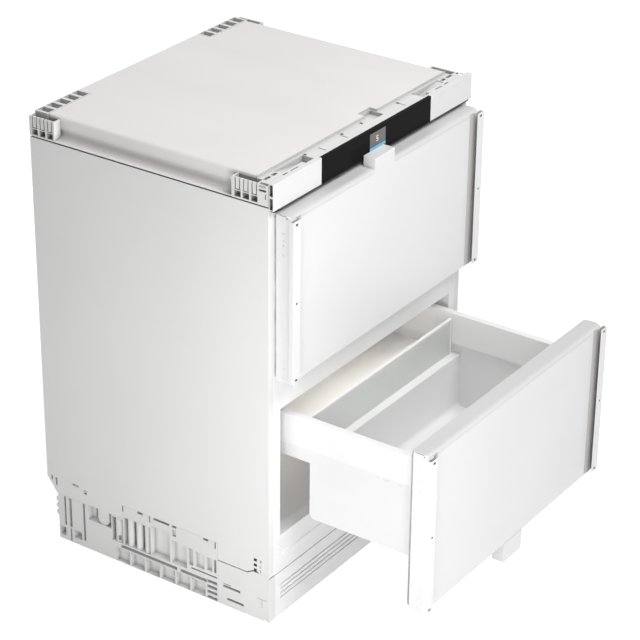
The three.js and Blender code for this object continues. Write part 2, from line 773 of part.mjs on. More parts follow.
// the moulding's body: full width below the side panel, and a carrier behind the panel's lower edge
function mouldBody(side) {
  const y = [plinthSideFront, plinthSideBack];
  const lower = sideBox(side, [plinthInner, half], y, [floorGap, panelRearEdge - seat]);
  const middle = sideBox(side, [plinthInner, half], [y[0], midEnd - seat],
    [panelRearEdge - 1, panelMidEdge - seat]);
  const carrierEnd = back - carrierRearGap;
  const carrier = prism('x', outline([
    [y[0], panelRearEdge - 1], [rearCorner - 1, panelRearEdge - 1], [rearCorner - 1, panelRearEdge + 1],
    [carrierEnd, panelRearEdge + panelRearRise], [carrierEnd, foamBase - seat], [y[0], foamBase - seat],
  ]), side > 0 ? [plinthInner, sideHalf] : [-sideHalf, -plinthInner]);
  return join([lower, middle, carrier]);
}

function mouldTab(side) {
  const depth = side > 0 ? [half - mouldDepth - 2, half - 2] : [2 - half, mouldDepth + 2 - half];
  const y = plinthSideFront + plateFrom + tabFrom;
  return rod('x', tabRadius, depth, [y, tabZ], 20)
    .add(box(depth, [y - tabRadius, y + tabRadius], [tabZ, panelRearEdge - 1]));
}

// the ribbed moulding along each side of the plinth
function plinthSide(side) {
  const start = plinthSideFront;
  const pocket = ({ from, width, z, depth = mouldDepth }) =>
    sideBox(side, [half - depth, half + 1], [start + from, start + from + width], z);
  const column = (from, radius, top) =>
    rod('z', radius, [ledgeZ[1], top], [side * (half - radius - 1), start + from], 12);

  const low = range(lowBays).map((i) => pocket({ from: lowBayFrom + i * lowBayPitch,
    width: lowBayPitch - bayRib, z: [bayFloor, ledgeZ[0] - ledgeLine], depth: mouldDepth - 2 * (i % 3) }));
  const lowShades = range(lowBays).map((i) => pocket({ from: lowBayFrom + i * lowBayPitch,
    width: lowShadeWidth, z: [lowShadeBase, ledgeZ[0] - ledgeLine], depth: shadeDepth - 2 * (i % 3) }));
  const stack = range(stackSlots).map((i) => pocket({ from: stackFrom, width: stackEnd - stackFrom,
    z: [bayFloor + i * stackPitch, bayFloor + i * stackPitch + stackHeight], depth: shadeDepth }));
  const ledge = ledgeGrooves.map((groove) => pocket({ ...groove, z: ledgeZ, depth: ledgeDepth }));
  const small = smallBays.flatMap((bay) => [pocket({ ...bay, depth: smallBayDepth }),
    pocket({ ...bay, z: [bay.z[1] - smallBayShade, bay.z[1]], depth: shadeDepth })]);
  const bays = openBays.flatMap((bay) => [pocket(bay),
    pocket({ ...bay, z: [bay.z[1] - bayShade, bay.z[1]], depth: shadeDepth })]);
  const columnSpace = pocket({ from: columnFrom, width: columnCount * columnPitch + 2,
    z: [ledgeZ[1] + ledgeLine, columnTop], depth: mouldDepth + 3 });
  const wideSpace = pocket({ from: wideColumnFrom, width: 2 * wideColumnRadius + 8,
    z: [ledgeZ[1] + ledgeLine, panelRearEdge - ledgeLine], depth: mouldDepth + 3 });
  const tabSpace = pocket({ from: plateFrom, width: plateLength, z: [tabSpaceZ, panelRearEdge + 1] });
  const tabShade = pocket({ from: plateFrom + 0.7 * plateLength, width: 8,
    z: [tabSpaceZ + ledgeLine, panelRearEdge - ledgeLine], depth: shadeDepth });
  const slits = rearSlitFrom.map((from, i) => pocket({ from, width: rearSlitWidths[i],
    z: [rearSlitBase[i], panelRearEdge - 2], depth: shadeDepth }));
  const top = panelMidEdge - edgeMargin;
  const topSlots = edgeSlots.map((slot) => pocket({ ...slot, z: [top - edgeSlotHeight, top] }));
  const ticks = edgeTicks.map((tick) => pocket({ ...tick, z: [top - edgeTickHeight - edgeSlotHeight, top] }));

  const body = cut(mouldBody(side), [...low, ...lowShades, ...stack, ...ledge, ...small,
    pocket(upperLine), ...bays, pocket(openPatch), columnSpace, wideSpace, tabSpace, tabShade, ...slits,
    ...rearFootBays.map(pocket), ...topSlots, ...ticks, ...panelRearSlots(side, shadeDepth)]);
  const columns = range(columnCount).map((i) =>
    column(columnFrom + (i + 0.5) * columnPitch, columnRadius, columnTop + 1));
  const wideColumn = column(wideColumnFrom + wideColumnRadius + 4, wideColumnRadius, panelRearEdge - 1);
  const bumps = range(bumpCount).map((i) =>
    rod('x', bumpRadius, side > 0 ? [half - shadeDepth, half - 1] : [1 - half, shadeDepth - half],
      [plinthSideBack, bumpTop - i * bumpPitch], 12));
  return cut(join([body, ...columns, wideColumn, mouldTab(side), ...bumps]),
    [pocket({ ...eyeHole, depth: shadeDepth })]);
}

// side cover plate with its slots, turning the corner onto the kick grille
const coverSlots = [{ from: 62, length: 37.5, z: 39.5, height: 4.8 },
  { from: 54.5, length: 37, z: 14.8, height: 4.8 }, { from: 82, length: 18, z: 46.5, height: 1.4 }];
const coverSlotDepth = 9;
const stiffenerY = [52, 106];
const stiffenerZ = [12, 51];
const latchFrom = 4;
const latchLength = 22;
const latchZ = [28, 46];
const latchLine = 1.2;
const latchUpright = 14;
const toeFrom = 4;
const toeLength = 9;
const toeHeight = 3;

function plinthCover(side) {
  const top = plinthHeight - seam;
  const plate = sideBox(side, [half - plinthWall, half], [front, plinthSideFront - seat], [floorGap, top]);
  const corner = sideBox(side, [grilleHalf + seat, half], [front, front + plinthWall], [floorGap, top]);
  const lug = prism('x', outline([[front, top - 1], [front + panelFrontStep + panelStepRun, top - 1],
    [front + panelFrontStep + panelStepRun, top], [front + panelFrontStep, panelFrontEdge - seam],
    [front, panelFrontEdge - seam]]), side > 0 ? [half - sheet, half] : [-half, sheet - half]);
  const stiffener = sideBox(side, [half - coverSlotDepth - 2, half - 1], stiffenerY.map((y) => front + y),
    stiffenerZ);
  const groove = (from, length, z, depth) =>
    sideBox(side, [half - depth, half + 1], [front + from, front + from + length], z);
  const slots = coverSlots.map(({ from, length, z, height }) =>
    groove(from, length, [z, z + height], coverSlotDepth));
  const latch = [groove(latchFrom, latchLength, [latchZ[1] - latchLine, latchZ[1]], 1),
    groove(latchUpright, latchLine, latchZ, 1)];
  const toe = groove(toeFrom, toeLength, [floorGap - 1, floorGap + toeHeight], 2 * plinthWall);
  return cut(join([plate, corner, lug, stiffener]), [...slots, ...latch, toe]);
}

function kickGrille() {
  const panel = box([-grilleHalf, grilleHalf], [front, front + plinthWall], [floorGap, plinthHeight - seam]);
  const slits = range(grilleSlits).map((i) => {
    const z = slitTop - i * slitPitch;
    return box([slitMargin - grilleHalf, grilleHalf - slitMargin], [front - 1, front + plinthWall + 1],
      [z - slitHeight, z]);
  });
  return cut(panel, slits);
}

const footCorners = [['front_left', -1, -1], ['front_right', 1, -1], ['rear_left', -1, 1],
  ['rear_right', 1, 1]];
const footPlaces = footCorners.map(([name, sx, sy]) =>
  [name, sx * (half - footInsetX), sy * (back - footInsetY)]);
const inletX = inletInset - half;

function baseTray() {
  const y = [front + plinthWall + seat, plinthSideBack];
  const rear = back - trayRearGap;
  const floor = box([-trayWallX, trayWallX], [y[0], rear], [trayFloor, trayFloor + sheet]);
  const walls = sides.flatMap(([, side]) => [
    sideBox(side, [trayWallX - sheet, trayWallX], y, [trayFloor, plinthHeight - seat]),
    sideBox(side, [trayWallX - sheet, trayWallX], [foamFront, y[1]], [trayFloor, foamBase - seat]),
  ]);
  const lip = box([-trayWallX, trayWallX], [y[0], y[0] + sheet], [trayFloor, trayFloor + trayFrontLip]);
  const rearLip = box([-trayWallX, trayWallX], [rear - sheet, rear], [trayFloor, trayFloor + trayRearLip]);
  const sleeves = footPlaces.map(([, x, yFoot]) =>
    rod('z', sleeveRadius, [trayFloor, trayFloor + sleeveHeight], [x, yFoot], 12));
  const bores = footPlaces.map(([, x, yFoot]) =>
    rod('z', footStemRadius + footPlay, [trayFloor - 1, trayFloor + sleeveHeight + 1], [x, yFoot], 12));
  return cut(join([floor, ...walls, lip, rearLip, ...sleeves]), bores);
}

// the upright plate that holds the mains inlet, standing on the tray's rear lip
function inletBracket() {
  const y = [back - trayRearGap - sheet, back - trayRearGap];
  const reach = inletBody[0] / 2 + inletMargin;
  const plate = box([inletX - reach, inletX + reach], y,
    [trayFloor + trayRearLip + seat, inletHeight + inletBody[2] / 2 + inletMargin]);
  const holeHalf = inletNeck[0] / 2 + seat;
  const holeRise = inletNeck[1] / 2 + seat;
  return cut(plate, [box([inletX - holeHalf, inletX + holeHalf], [y[0] - 1, y[1] + 1],
    [inletHeight - holeRise, inletHeight + holeRise])]);
}

function levellingFoot(x, y) {
  return rod('z', footRadius, [0, footThickness], [x, y], 20)
    .add(rod('z', footStemRadius, [footThickness - 1, footStemTop], [x, y], 12));
}

function mainsInlet() {
  const face = back - trayRearGap - sheet - seat;
  const block = (width, height, y) =>
    box([inletX - width / 2, inletX + width / 2], y, [inletHeight - height / 2, inletHeight + height / 2]);
  const body = block(inletBody[0], inletBody[2], [face - inletBody[1], face]);
  const neck = block(inletNeck[0], inletNeck[1], [face - 1, back]);
  return cut(body.add(neck), [block(inletSocket[0], inletSocket[2], [face - inletSocket[1], back + 1])]);
}

// ---------------------------------------------------------------- refrigeration

const machineFloor = trayFloor + sheet + seat;
const platformTop = machineFloor + grommetHeight + platformThickness;
const compressorX = half - compressorInset;
const compressorY = back - machineRearGap - compressorRadius;
const compressorTop = platformTop + compressorHeight - 1;

// the compressor's domed shell, as shares of its radius and height
const shellProfile = [[0, 0], [0.86, 0], [0.97, 0.08], [1, 0.3], [0.98, 0.62], [0.84, 0.86], [0.5, 0.98],
  [0, 1]];

function compressor() {
  const profile = shellProfile.map(([r, z]) => new THREE.Vector2(r * compressorRadius, z * compressorHeight));
  const lathe = new THREE.LatheGeometry(profile, 24);
  lathe.rotateX(Math.PI / 2);
  lathe.translate(compressorX, compressorY, platformTop - 1);
  const plateX = compressorRadius + platformMargin;
  const plateY = compressorRadius - 2;
  const platform = box([compressorX - plateX, compressorX + plateX],
    [compressorY - plateY, compressorY + plateY], [platformTop - platformThickness, platformTop]);
  const corners = [[-1, -1], [1, -1], [-1, 1], [1, 1]];
  const grommets = corners.map(([sx, sy]) => rod('z', grommetRadius, [machineFloor, platformTop - 1],
    [compressorX + sx * (plateX - grommetRadius - 2), compressorY + sy * (plateY - grommetRadius - 2)], 12));
  const shellSide = compressorX - compressorRadius;
  const terminals = box([shellSide - terminalDepth, shellSide + grommetRadius],
    [compressorY - terminalWidth / 2, compressorY + terminalWidth / 2],
    [platformTop + terminalLift, platformTop + terminalLift + terminalHeight]);
  return join([solid(lathe), platform, ...grommets, terminals]);
}

function dripTray() {
  const x = [compressorX - dripTrayWidth / 2, compressorX + dripTrayWidth / 2];
  const y = [compressorY - dripTrayDepth / 2, compressorY + dripTrayDepth / 2];
  const z = [compressorTop + seat, compressorTop + seat + dripTrayHeight];
  const inside = (span) => [span[0] + dripTrayWall, span[1] - dripTrayWall];
  return cut(box(x, y, z), [box(inside(x), inside(y), [z[0] + dripTrayWall, z[1] + 1])]);
}

const coolingX = coolingInset - half;
const shroudHalf = fanRadius + fanTipGap + shroudMargin;
const fanZ = machineFloor + shroudHalf;
const condenserY = back - machineRearGap - condenserDepth;
const shroudY = [condenserY - seat - shroudDepth, condenserY - seat];
const fanY = [shroudY[0] + 1.5, shroudY[0] + 1.5 + fanThickness];

function condenser() {
  const z = [machineFloor, machineFloor + 2 * shroudHalf];
  const x = [coolingX - condenserWidth / 2, coolingX + condenserWidth / 2];
  const y = [condenserY, condenserY + condenserDepth];
  const pitch = (condenserWidth - finThickness) / (finCount - 1);
  const fins = range(finCount).map((i) => box([x[0] + i * pitch, x[0] + i * pitch + finThickness], y, z));
  const middle = (z[0] + z[1] - headerHeight) / 2;
  const headers = [z[0] + headerInset, middle, z[1] - headerInset - headerHeight].map((low) =>
    box([x[0] + 1, x[1] - 1], [y[0] + headerInset, y[1] - headerInset], [low, low + headerHeight]));
  return join([...fins, ...headers]);
}

function fanShroud() {
  const frame = box([coolingX - shroudHalf, coolingX + shroudHalf], shroudY,
    [fanZ - shroudHalf, fanZ + shroudHalf]);
  const hole = rod('y', fanRadius + fanTipGap, [shroudY[0] - 1, shroudY[1] + 1], [-coolingX, fanZ], 32);
  const reach = fanRadius + fanTipGap + 3;
  const spokes = [[reach, spokeWidth / 2], [spokeWidth / 2, reach]].map(([x, z]) =>
    box([coolingX - x, coolingX + x], [shroudY[1] - spokeThickness, shroudY[1]], [fanZ - z, fanZ + z]));
  const motor = rod('y', motorRadius, [shroudY[1] - motorDepth, shroudY[1]], [-coolingX, fanZ], 20);
  const shaft = rod('y', shaftRadius, [shroudY[0] + 1, shroudY[1] - motorDepth + 1], [-coolingX, fanZ], 12);
  return join([cut(frame, [hole]), ...spokes, motor, shaft]);
}

function condenserFan() {
  const hub = rod('y', fanHubRadius, fanY, [-coolingX, fanZ], 20);
  const root = fanHubRadius - 4;
  const blades = range(fanBlades).map((i) => {
    const blade = new THREE.BoxGeometry(fanRadius - root, bladeThickness, bladeWidth);
    blade.rotateX(bladePitch);
    blade.translate((fanRadius + root) / 2, 0, 0);
    blade.rotateY((i / fanBlades) * Math.PI * 2);
    blade.translate(coolingX, (fanY[0] + fanY[1]) / 2, fanZ);
    return solid(blade);
  });
  const disc = rod('y', fanRadius, fanY, [-coolingX, fanZ], 40);
  const bore = rod('y', shaftRadius + seat, [fanY[0] - 1, fanY[1] + 1], [-coolingX, fanZ], 12);
  return cut(join([hub, ...blades]).intersect(disc), [bore]);
}

// ---------------------------------------------------------------- drawers
// Drawer pieces are placed from the cabinet's front plane in Y and the front's lower edge in Z.

const runnerY = [frameDepth + runnerFrontGap, cavityBack - front - runnerRearGap];
const runnerOuter = boxHalf - runnerWall - runnerPlay; // outer face of the cabinet member
const runnerTop = boxTop - runnerWall - runnerTopGap;
const runnerBase = runnerTop - runnerHeight;
const runnerInset = runnerWall + runnerPlay; // from one member to the next
const memberDepth = sideWidth - runnerWall - 2 * runnerInset;
const sideBase = boxTop - sideHeight;
const shelfBase = sideBase - tubInset;

// a channel open towards the drawer's middle
function channel(side, outer, depth, [low, high]) {
  return join([
    sideBox(side, [outer - runnerWall, outer], runnerY, [low, high]),
    sideBox(side, [outer - depth, outer], runnerY, [low, low + runnerWall]),
    sideBox(side, [outer - depth, outer], runnerY, [high - runnerWall, high]),
  ]);
}

function cabinetRunner(side) {
  const foot = runnerBase - runnerFootDrop;
  const wallFace = openingHalf - seat;
  return join([
    channel(side, runnerOuter, memberDepth - runnerNesting, [runnerBase, runnerTop]),
    sideBox(side, [runnerOuter - runnerWall, runnerOuter], runnerY, [foot, runnerBase + 1]),
    sideBox(side, [runnerOuter - runnerWall, wallFace], runnerY, [foot, foot + runnerWall]),
    sideBox(side, [wallFace - runnerWall, wallFace], runnerY, [foot, foot + runnerFixingHeight]),
  ]);
}

function middleRunner(side) {
  return channel(side, runnerOuter - runnerInset, memberDepth - runnerNesting - 1,
    [runnerBase + runnerInset, runnerTop - runnerInset]);
}

// hollow drawer side: an upside-down channel over the runner, whose inner wall carries the drawer member
function drawerSide(side) {
  const y = [boxFront, boxBack];
  const inner = boxHalf - sideWidth;
  const nested = 2 * runnerInset;
  const lips = [runnerBase + nested, runnerTop - nested - runnerWall].map((z) =>
    sideBox(side, [inner + runnerWall / 2, runnerOuter - nested - runnerWall], y, [z, z + runnerWall]));
  return join([
    sideBox(side, [boxHalf - runnerWall, boxHalf], y, [sideBase, boxTop]),
    sideBox(side, [inner, boxHalf], y, [boxTop - runnerWall, boxTop]),
    sideBox(side, [inner, inner + runnerWall], y, [shelfBase, boxTop]),
    sideBox(side, [inner, boxHalf - tubInset - tubWall - seat], y, [shelfBase, shelfBase + runnerWall]),
    ...lips,
  ]);
}

const tubHalf = boxHalf - tubInset;
const tubBase = openingLift + tubFloorGap;
const tubRim = boxTop - tubRimDrop;
const tubStepY = stepY - front - tubStepClearance;
const tubShelf = openingLift + stepHeight + tubShelfClearance;

// the tub's side view with rounded lower corners; the lower tub steps up over the machine space
function tubProfile(stepped, inset, top) {
  const y = [boxFront + inset, boxBack - inset];
  const low = tubBase + inset;
  const shape = new THREE.Shape();
  const cornerEnd = stepped ? tubStepY - inset : y[1];
  shape.moveTo(y[0], top);
  shape.lineTo(y[0], low + tubCorner);
  shape.absarc(y[0] + tubCorner, low + tubCorner, tubCorner, Math.PI, 1.5 * Math.PI, false);
  shape.lineTo(cornerEnd - tubCorner, low);
  shape.absarc(cornerEnd - tubCorner, low + tubCorner, tubCorner, 1.5 * Math.PI, 2 * Math.PI, false);
  if (stepped) {
    shape.lineTo(cornerEnd, tubShelf + inset);
    shape.lineTo(y[1], tubShelf + inset);
  }
  shape.lineTo(y[1], top);
  return shape;
}

function tub(stepped) {
  const inner = boxHalf - sideWidth - seat;
  const wide = prism('x', tubProfile(stepped, 0, sideBase + tubTuck), [-tubHalf, tubHalf]);
  const tall = prism('x', tubProfile(stepped, 0, tubRim), [-inner, inner]);
  const hollow = prism('x', tubProfile(stepped, tubWall, tubRim + 5), [tubWall - tubHalf, tubHalf - tubWall]);
  const ledges = sides.map(([, side]) => sideBox(side, [inner, tubHalf - tubWall],
    [boxFront - 1, boxBack + 1], [shelfBase - seat, tubRim + 1]));
  return cut(wide.add(tall), [hollow, ...ledges]);
}

function drawerFront() {
  const r = frontEdgeRadius;
  const shape = new THREE.Shape();
  shape.moveTo(frontBack, 0);
  shape.lineTo(frontBack, frontHeight);
  shape.lineTo(frontFace + r, frontHeight);
  shape.absarc(frontFace + r, frontHeight - r, r, Math.PI / 2, Math.PI, false);
  shape.lineTo(frontFace, frontEdgeChamfer);
  shape.lineTo(frontFace + frontEdgeChamfer, 0);
  const panel = prism('x', shape, [-frontHalf, frontHalf]);
  const plugHalf = openingHalf - plugClearance;
  const plug = box([-plugHalf, plugHalf], [frontBack - 1, frontBack + plugDepth],
    [openingLift + plugClearance, openingLift + openingHeight - plugClearance]);
  const middle = (frontBack + frontFace) / 2;
  const depth = [frontHalf - sideHoleDepth, frontHalf + 1];
  const heights = [...sideHolesLow, ...sideHolesHigh.map((drop) => frontHeight - drop)];
  const holes = sides.flatMap(([, side]) => heights.map((z) =>
    rod('x', sideHoleRadius, side > 0 ? depth : [-depth[1], -depth[0]], [middle, z], 8)));
  return cut(panel.add(plug), holes);
}

// open channel along a drawer front's side, to which a furniture panel is hung
function fixingRail(side) {
  const outer = frontHalf + railOverhang;
  const inner = outer - railWidth;
  const face = frontFace - railStandoff;
  const z = [railEndMargin, frontHeight - railEndMargin];
  const profile = join([
    sideBox(side, [inner, outer], [face, face + railWall], z),
    sideBox(side, [outer - railWall, outer], [face, frontFace - seat], z),
    sideBox(side, [inner, outer], [frontFace - seat - railWall, frontFace - seat], z),
  ]);
  const middle = (inner + outer) / 2;
  const slots = [z[0] + railScrewMargin, z[1] - railScrewMargin].map((height) =>
    sideBox(side, [middle - railSlotLength / 2, middle + railSlotLength / 2], [face - 1, face + railWall + 1],
      [height - railSlotHeight / 2, height + railSlotHeight / 2]));
  const hole = rod('y', railHoleRadius, [face - 1, face + railWall + 1],
    [-side * middle, frontHeight / 2], 12);
  return cut(profile, [...slots, hole]);
}

function gasket() {
  const outer = frontHalf - gasketInset;
  const inner = outer - gasketWidth;
  const y = [frontBack + seat, -seat];
  return cut(box([-outer, outer], y, [gasketInset, frontHeight - gasketInset]),
    [box([-inner, inner], [y[0] - 1, y[1] + 1],
      [gasketInset + gasketWidth, frontHeight - gasketInset - gasketWidth])]);
}

function upperBracket() {
  const x = [upperBracketX - bracketWidth / 2, upperBracketX + bracketWidth / 2];
  return box(x, [frontFace, frontFace + bracketDepth], [frontHeight + seat, frontHeight + upperBracketRise]);
}

function lowerBracket() {
  const x = [lowerBracketX - bracketWidth / 2, lowerBracketX + bracketWidth / 2];
  const y = [frontFace + lowerBracketSetback, frontFace + lowerBracketSetback + bracketDepth];
  const block = box(x, y, [-lowerBracketDrop, -seat]);
  const hollow = box([x[0] + bracketWall, x[1] - bracketWall], [y[0] + bracketWall, y[1] + 1],
    [bracketWall - lowerBracketDrop, -bracketFloor]);
  return cut(block, [hollow]);
}

function divider() {
  const x = boxHalf - sideWidth - dividerClearance;
  const y = tubStepY + dividerSetback;
  return box([-x, x], [y, y + dividerThickness], [tubShelf + tubWall + seat, boxTop - dividerDrop]);
}

// ---------------------------------------------------------------- assembly

const refrigerator = new THREE.Group();

function addCabinet() {
  for (const [name, side] of sides) {
    part(refrigerator, `side_panel_${name}`, sidePanel(side), whitePaint);
    part(refrigerator, `corner_block_rear_${name}`, rearBlock(side), whitePlastic);
    part(refrigerator, `corner_block_front_${name}`, frontBlock(side), whitePlastic);
    part(refrigerator, `plinth_side_${name}`, plinthSide(side), whitePlastic);
    part(refrigerator, `plinth_cover_${name}`, plinthCover(side), whitePlastic);
  }
  part(refrigerator, 'back_panel', backPanel(), whitePaint);
  part(refrigerator, 'top_cover', topCover(), whitePlastic);
  part(refrigerator, 'top_front_rail', topFrontRail(), whitePlastic);
  part(refrigerator, 'fascia', fascia(), frontPaint);
  part(refrigerator, 'control_glass', controlGlass(), blackGlass);
  part(refrigerator, 'control_module', controlModule(), darkPlastic);
  part(refrigerator, 'face_frame', faceFrame(), frontPaint);
  part(refrigerator, 'inner_liner', innerLiner(), linerPlastic);
  part(refrigerator, 'insulation_foam', insulationFoam(), foamYellow);
  part(refrigerator, 'evaporator_plate', evaporatorPlate(), aluminium);
  part(refrigerator, 'led_strip_upper', lightStrip(upperOpening), lightWhite);
  part(refrigerator, 'led_strip_lower', lightStrip(lowerOpening), lightWhite);
  part(refrigerator, 'kick_grille', kickGrille(), whitePlastic);
  part(refrigerator, 'base_tray', baseTray(), zincSteel);
  part(refrigerator, 'inlet_bracket', inletBracket(), zincSteel);
  part(refrigerator, 'mains_inlet', mainsInlet(), darkPlastic);
  for (const [name, x, y] of footPlaces) {
    part(refrigerator, `foot_${name}`, levellingFoot(x, y), darkPlastic);
  }
}

function addCooling() {
  part(refrigerator, 'compressor', compressor(), blackSteel);
  part(refrigerator, 'drip_tray', dripTray(), darkPlastic);
  part(refrigerator, 'condenser', condenser(), aluminium);
  part(refrigerator, 'fan_shroud', fanShroud(), darkPlastic);
  part(refrigerator, 'condenser_fan', condenserFan(), darkPlastic);
}

function addDrawer(name, base, open, stepped) {
  const place = (opening) => {
    const group = new THREE.Group();
    group.position.set(0, front - opening, base);
    refrigerator.add(group);
    return group;
  };
  const fixed = place(0);
  const between = place(open / 2);
  const drawer = place(open);
  for (const [sideName, side] of sides) {
    part(fixed, `${name}_cabinet_runner_${sideName}`, cabinetRunner(side), zincSteel);
    part(between, `${name}_middle_runner_${sideName}`, middleRunner(side), zincSteel);
    part(drawer, `${name}_drawer_side_${sideName}`, drawerSide(side), frontPaint);
    part(drawer, `${name}_fixing_rail_${sideName}`, fixingRail(side), whitePaint);
  }
  part(drawer, `${name}_front`, drawerFront(), frontPaint);
  part(drawer, `${name}_gasket`, gasket(), gasketGrey);
  part(drawer, `${name}_tub`, tub(stepped), tubPlastic);
  return drawer;
}

addCabinet();
addCooling();
const upperDrawer = addDrawer('upper', upperFrontBase, 0, false);
part(upperDrawer, 'upper_bracket', upperBracket(), frontPaint);
const lowerDrawer = addDrawer('lower', lowerFrontBase, lowerDrawerOpen, true);
part(lowerDrawer, 'lower_bracket', lowerBracket(), frontPaint);
part(lowerDrawer, 'lower_divider', divider(), frosted);

refrigerator.position.y = (lowerDrawerOpen + railStandoff - frontFace) / 2;

export default refrigerator;
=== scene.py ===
"""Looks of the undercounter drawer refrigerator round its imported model. Metres, +Z up, drawers facing -Y."""

import math

import bmesh
import bpy
from mathutils import Matrix, Vector


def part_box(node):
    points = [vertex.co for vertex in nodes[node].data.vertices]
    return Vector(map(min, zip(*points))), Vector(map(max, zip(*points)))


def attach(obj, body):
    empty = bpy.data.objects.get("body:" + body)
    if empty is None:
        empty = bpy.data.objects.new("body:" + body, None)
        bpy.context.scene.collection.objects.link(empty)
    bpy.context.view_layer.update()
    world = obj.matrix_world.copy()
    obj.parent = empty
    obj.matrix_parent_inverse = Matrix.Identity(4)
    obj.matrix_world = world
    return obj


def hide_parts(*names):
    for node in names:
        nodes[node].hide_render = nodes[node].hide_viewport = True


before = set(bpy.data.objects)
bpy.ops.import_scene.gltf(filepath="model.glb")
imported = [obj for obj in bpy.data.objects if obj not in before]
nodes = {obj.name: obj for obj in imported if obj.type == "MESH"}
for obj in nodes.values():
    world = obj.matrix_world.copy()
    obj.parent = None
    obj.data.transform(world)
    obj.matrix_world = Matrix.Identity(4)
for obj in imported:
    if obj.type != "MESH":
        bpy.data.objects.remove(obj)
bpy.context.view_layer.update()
MM = 0.001

# ---- camera

# the camera's angles, in degrees
AZIMUTH = -55.36
ELEVATION = 27.46
ROLL = -0.58
FOCAL_PIXELS = 2348.6
IMAGE_PIXELS = 640
SENSOR_MM = 36
CAMERA_PLACE = Vector((-3.0415, -2.0893, 2.3619))


def add_camera():
    azimuth, elevation, roll = map(math.radians, (AZIMUTH, ELEVATION, ROLL))
    back = Vector((
        math.sin(azimuth) * math.cos(elevation),
        -math.cos(azimuth) * math.cos(elevation),
        math.sin(elevation),
    ))
    level = Vector((math.cos(azimuth), math.sin(azimuth), 0))
    upright = back.cross(level)
    right = level * math.cos(roll) - upright * math.sin(roll)
    up = upright * math.cos(roll) + level * math.sin(roll)
    data = bpy.data.cameras.new("camera")
    data.sensor_width = SENSOR_MM
    data.lens = FOCAL_PIXELS / IMAGE_PIXELS * SENSOR_MM
    camera = bpy.data.objects.new("camera", data)
    camera.matrix_world = Matrix.Translation(CAMERA_PLACE) @ Matrix((right, up, back)).transposed().to_4x4()
    bpy.context.scene.collection.objects.link(camera)
    bpy.context.scene.camera = camera


# ---- materials

FINE_GRAIN = 0.03 * MM
PLASTIC_GRAIN = 0.04 * MM
SMOOTH_GRAIN = 0.01 * MM
FOAM_GRAIN = 0.4 * MM
METAL_GRAIN = 0.02 * MM
RECESS_SAMPLES = 12
BLEND_SPAN = (0.3, 0.7)  # where in a texture one shade turns into the other


def set_inputs(node, values):
    for name, value in values.items():
        node.inputs[name].default_value = value
    return node


def add_node(tree, kind, values=None):
    """A new shader node with the values of its unlinked inputs."""
    return set_inputs(tree.nodes.new("ShaderNode" + kind), values or {})


def new_material(name, colour, roughness, metallic=0.0):
    """A principled material with its tree, to which the textures below are added."""
    material = bpy.data.materials.new(name)
    material.use_nodes = True
    shader = material.node_tree.nodes["Principled BSDF"]
    set_inputs(shader, {"Base Color": (*colour, 1), "Roughness": roughness, "Metallic": metallic})
    return material, shader


def noise(material, scale, detail=3.0, stretch=(1, 1, 1)):
    """Noise over the object's own coordinates; its features are about 1/scale metres across."""
    tree = material.node_tree
    place = add_node(tree, "TexCoord")
    mapping = add_node(tree, "Mapping", {"Scale": stretch})
    texture = add_node(tree, "TexNoise", {"Scale": scale, "Detail": detail})
    tree.links.new(place.outputs["Object"], mapping.inputs["Vector"])
    tree.links.new(mapping.outputs["Vector"], texture.inputs["Vector"])
    return texture.outputs["Fac"]


def vary_colour(material, shader, fac, dark, light):
    """Blends two shades of the colour by a texture."""
    ramp = add_node(material.node_tree, "ValToRGB")
    for element, position, tone in zip(ramp.color_ramp.elements, BLEND_SPAN, (dark, light)):
        element.position = position
        element.color = (*tone, 1)
    material.node_tree.links.new(fac, ramp.inputs["Fac"])
    material.node_tree.links.new(ramp.outputs["Color"], shader.inputs["Base Color"])


def vary_roughness(material, shader, fac, low, high):
    span = add_node(material.node_tree, "MapRange", {"To Min": low, "To Max": high})
    material.node_tree.links.new(fac, span.inputs["Value"])
    material.node_tree.links.new(span.outputs["Result"], shader.inputs["Roughness"])


def add_bump(material, shader, fac, height):
    bump = add_node(material.node_tree, "Bump", {"Strength": 1, "Distance": height})
    material.node_tree.links.new(fac, bump.inputs["Height"])
    material.node_tree.links.new(bump.outputs["Normal"], shader.inputs["Normal"])


def shade(colour, factor):
    return tuple(min(1.0, c * factor) for c in colour)


def painted(name, colour, roughness, coat=0.15):
    """Powder-coated steel: a very fine orange peel under a thin coat."""
    material, shader = new_material(name, colour, roughness)
    vary_colour(material, shader, noise(material, 6, 2), shade(colour, 0.985), shade(colour, 1.01))
    vary_roughness(material, shader, noise(material, 40, 4), roughness - 0.04, roughness + 0.05)
    add_bump(material, shader, noise(material, 900, 2), FINE_GRAIN)
    set_inputs(shader, {"Coat Weight": coat, "Coat Roughness": 0.2})
    return material


def moulded(name, colour, roughness, grain=PLASTIC_GRAIN):
    """Moulded plastic with a fine spark-eroded grain and faint flow marks."""
    material, shader = new_material(name, colour, roughness)
    flow = noise(material, 9, 5, (1, 0.35, 1.6))
    vary_colour(material, shader, flow, shade(colour, 0.975), shade(colour, 1.015))
    vary_roughness(material, shader, noise(material, 60, 4), roughness - 0.05, roughness + 0.07)
    add_bump(material, shader, noise(material, 1400, 3), grain)
    return material


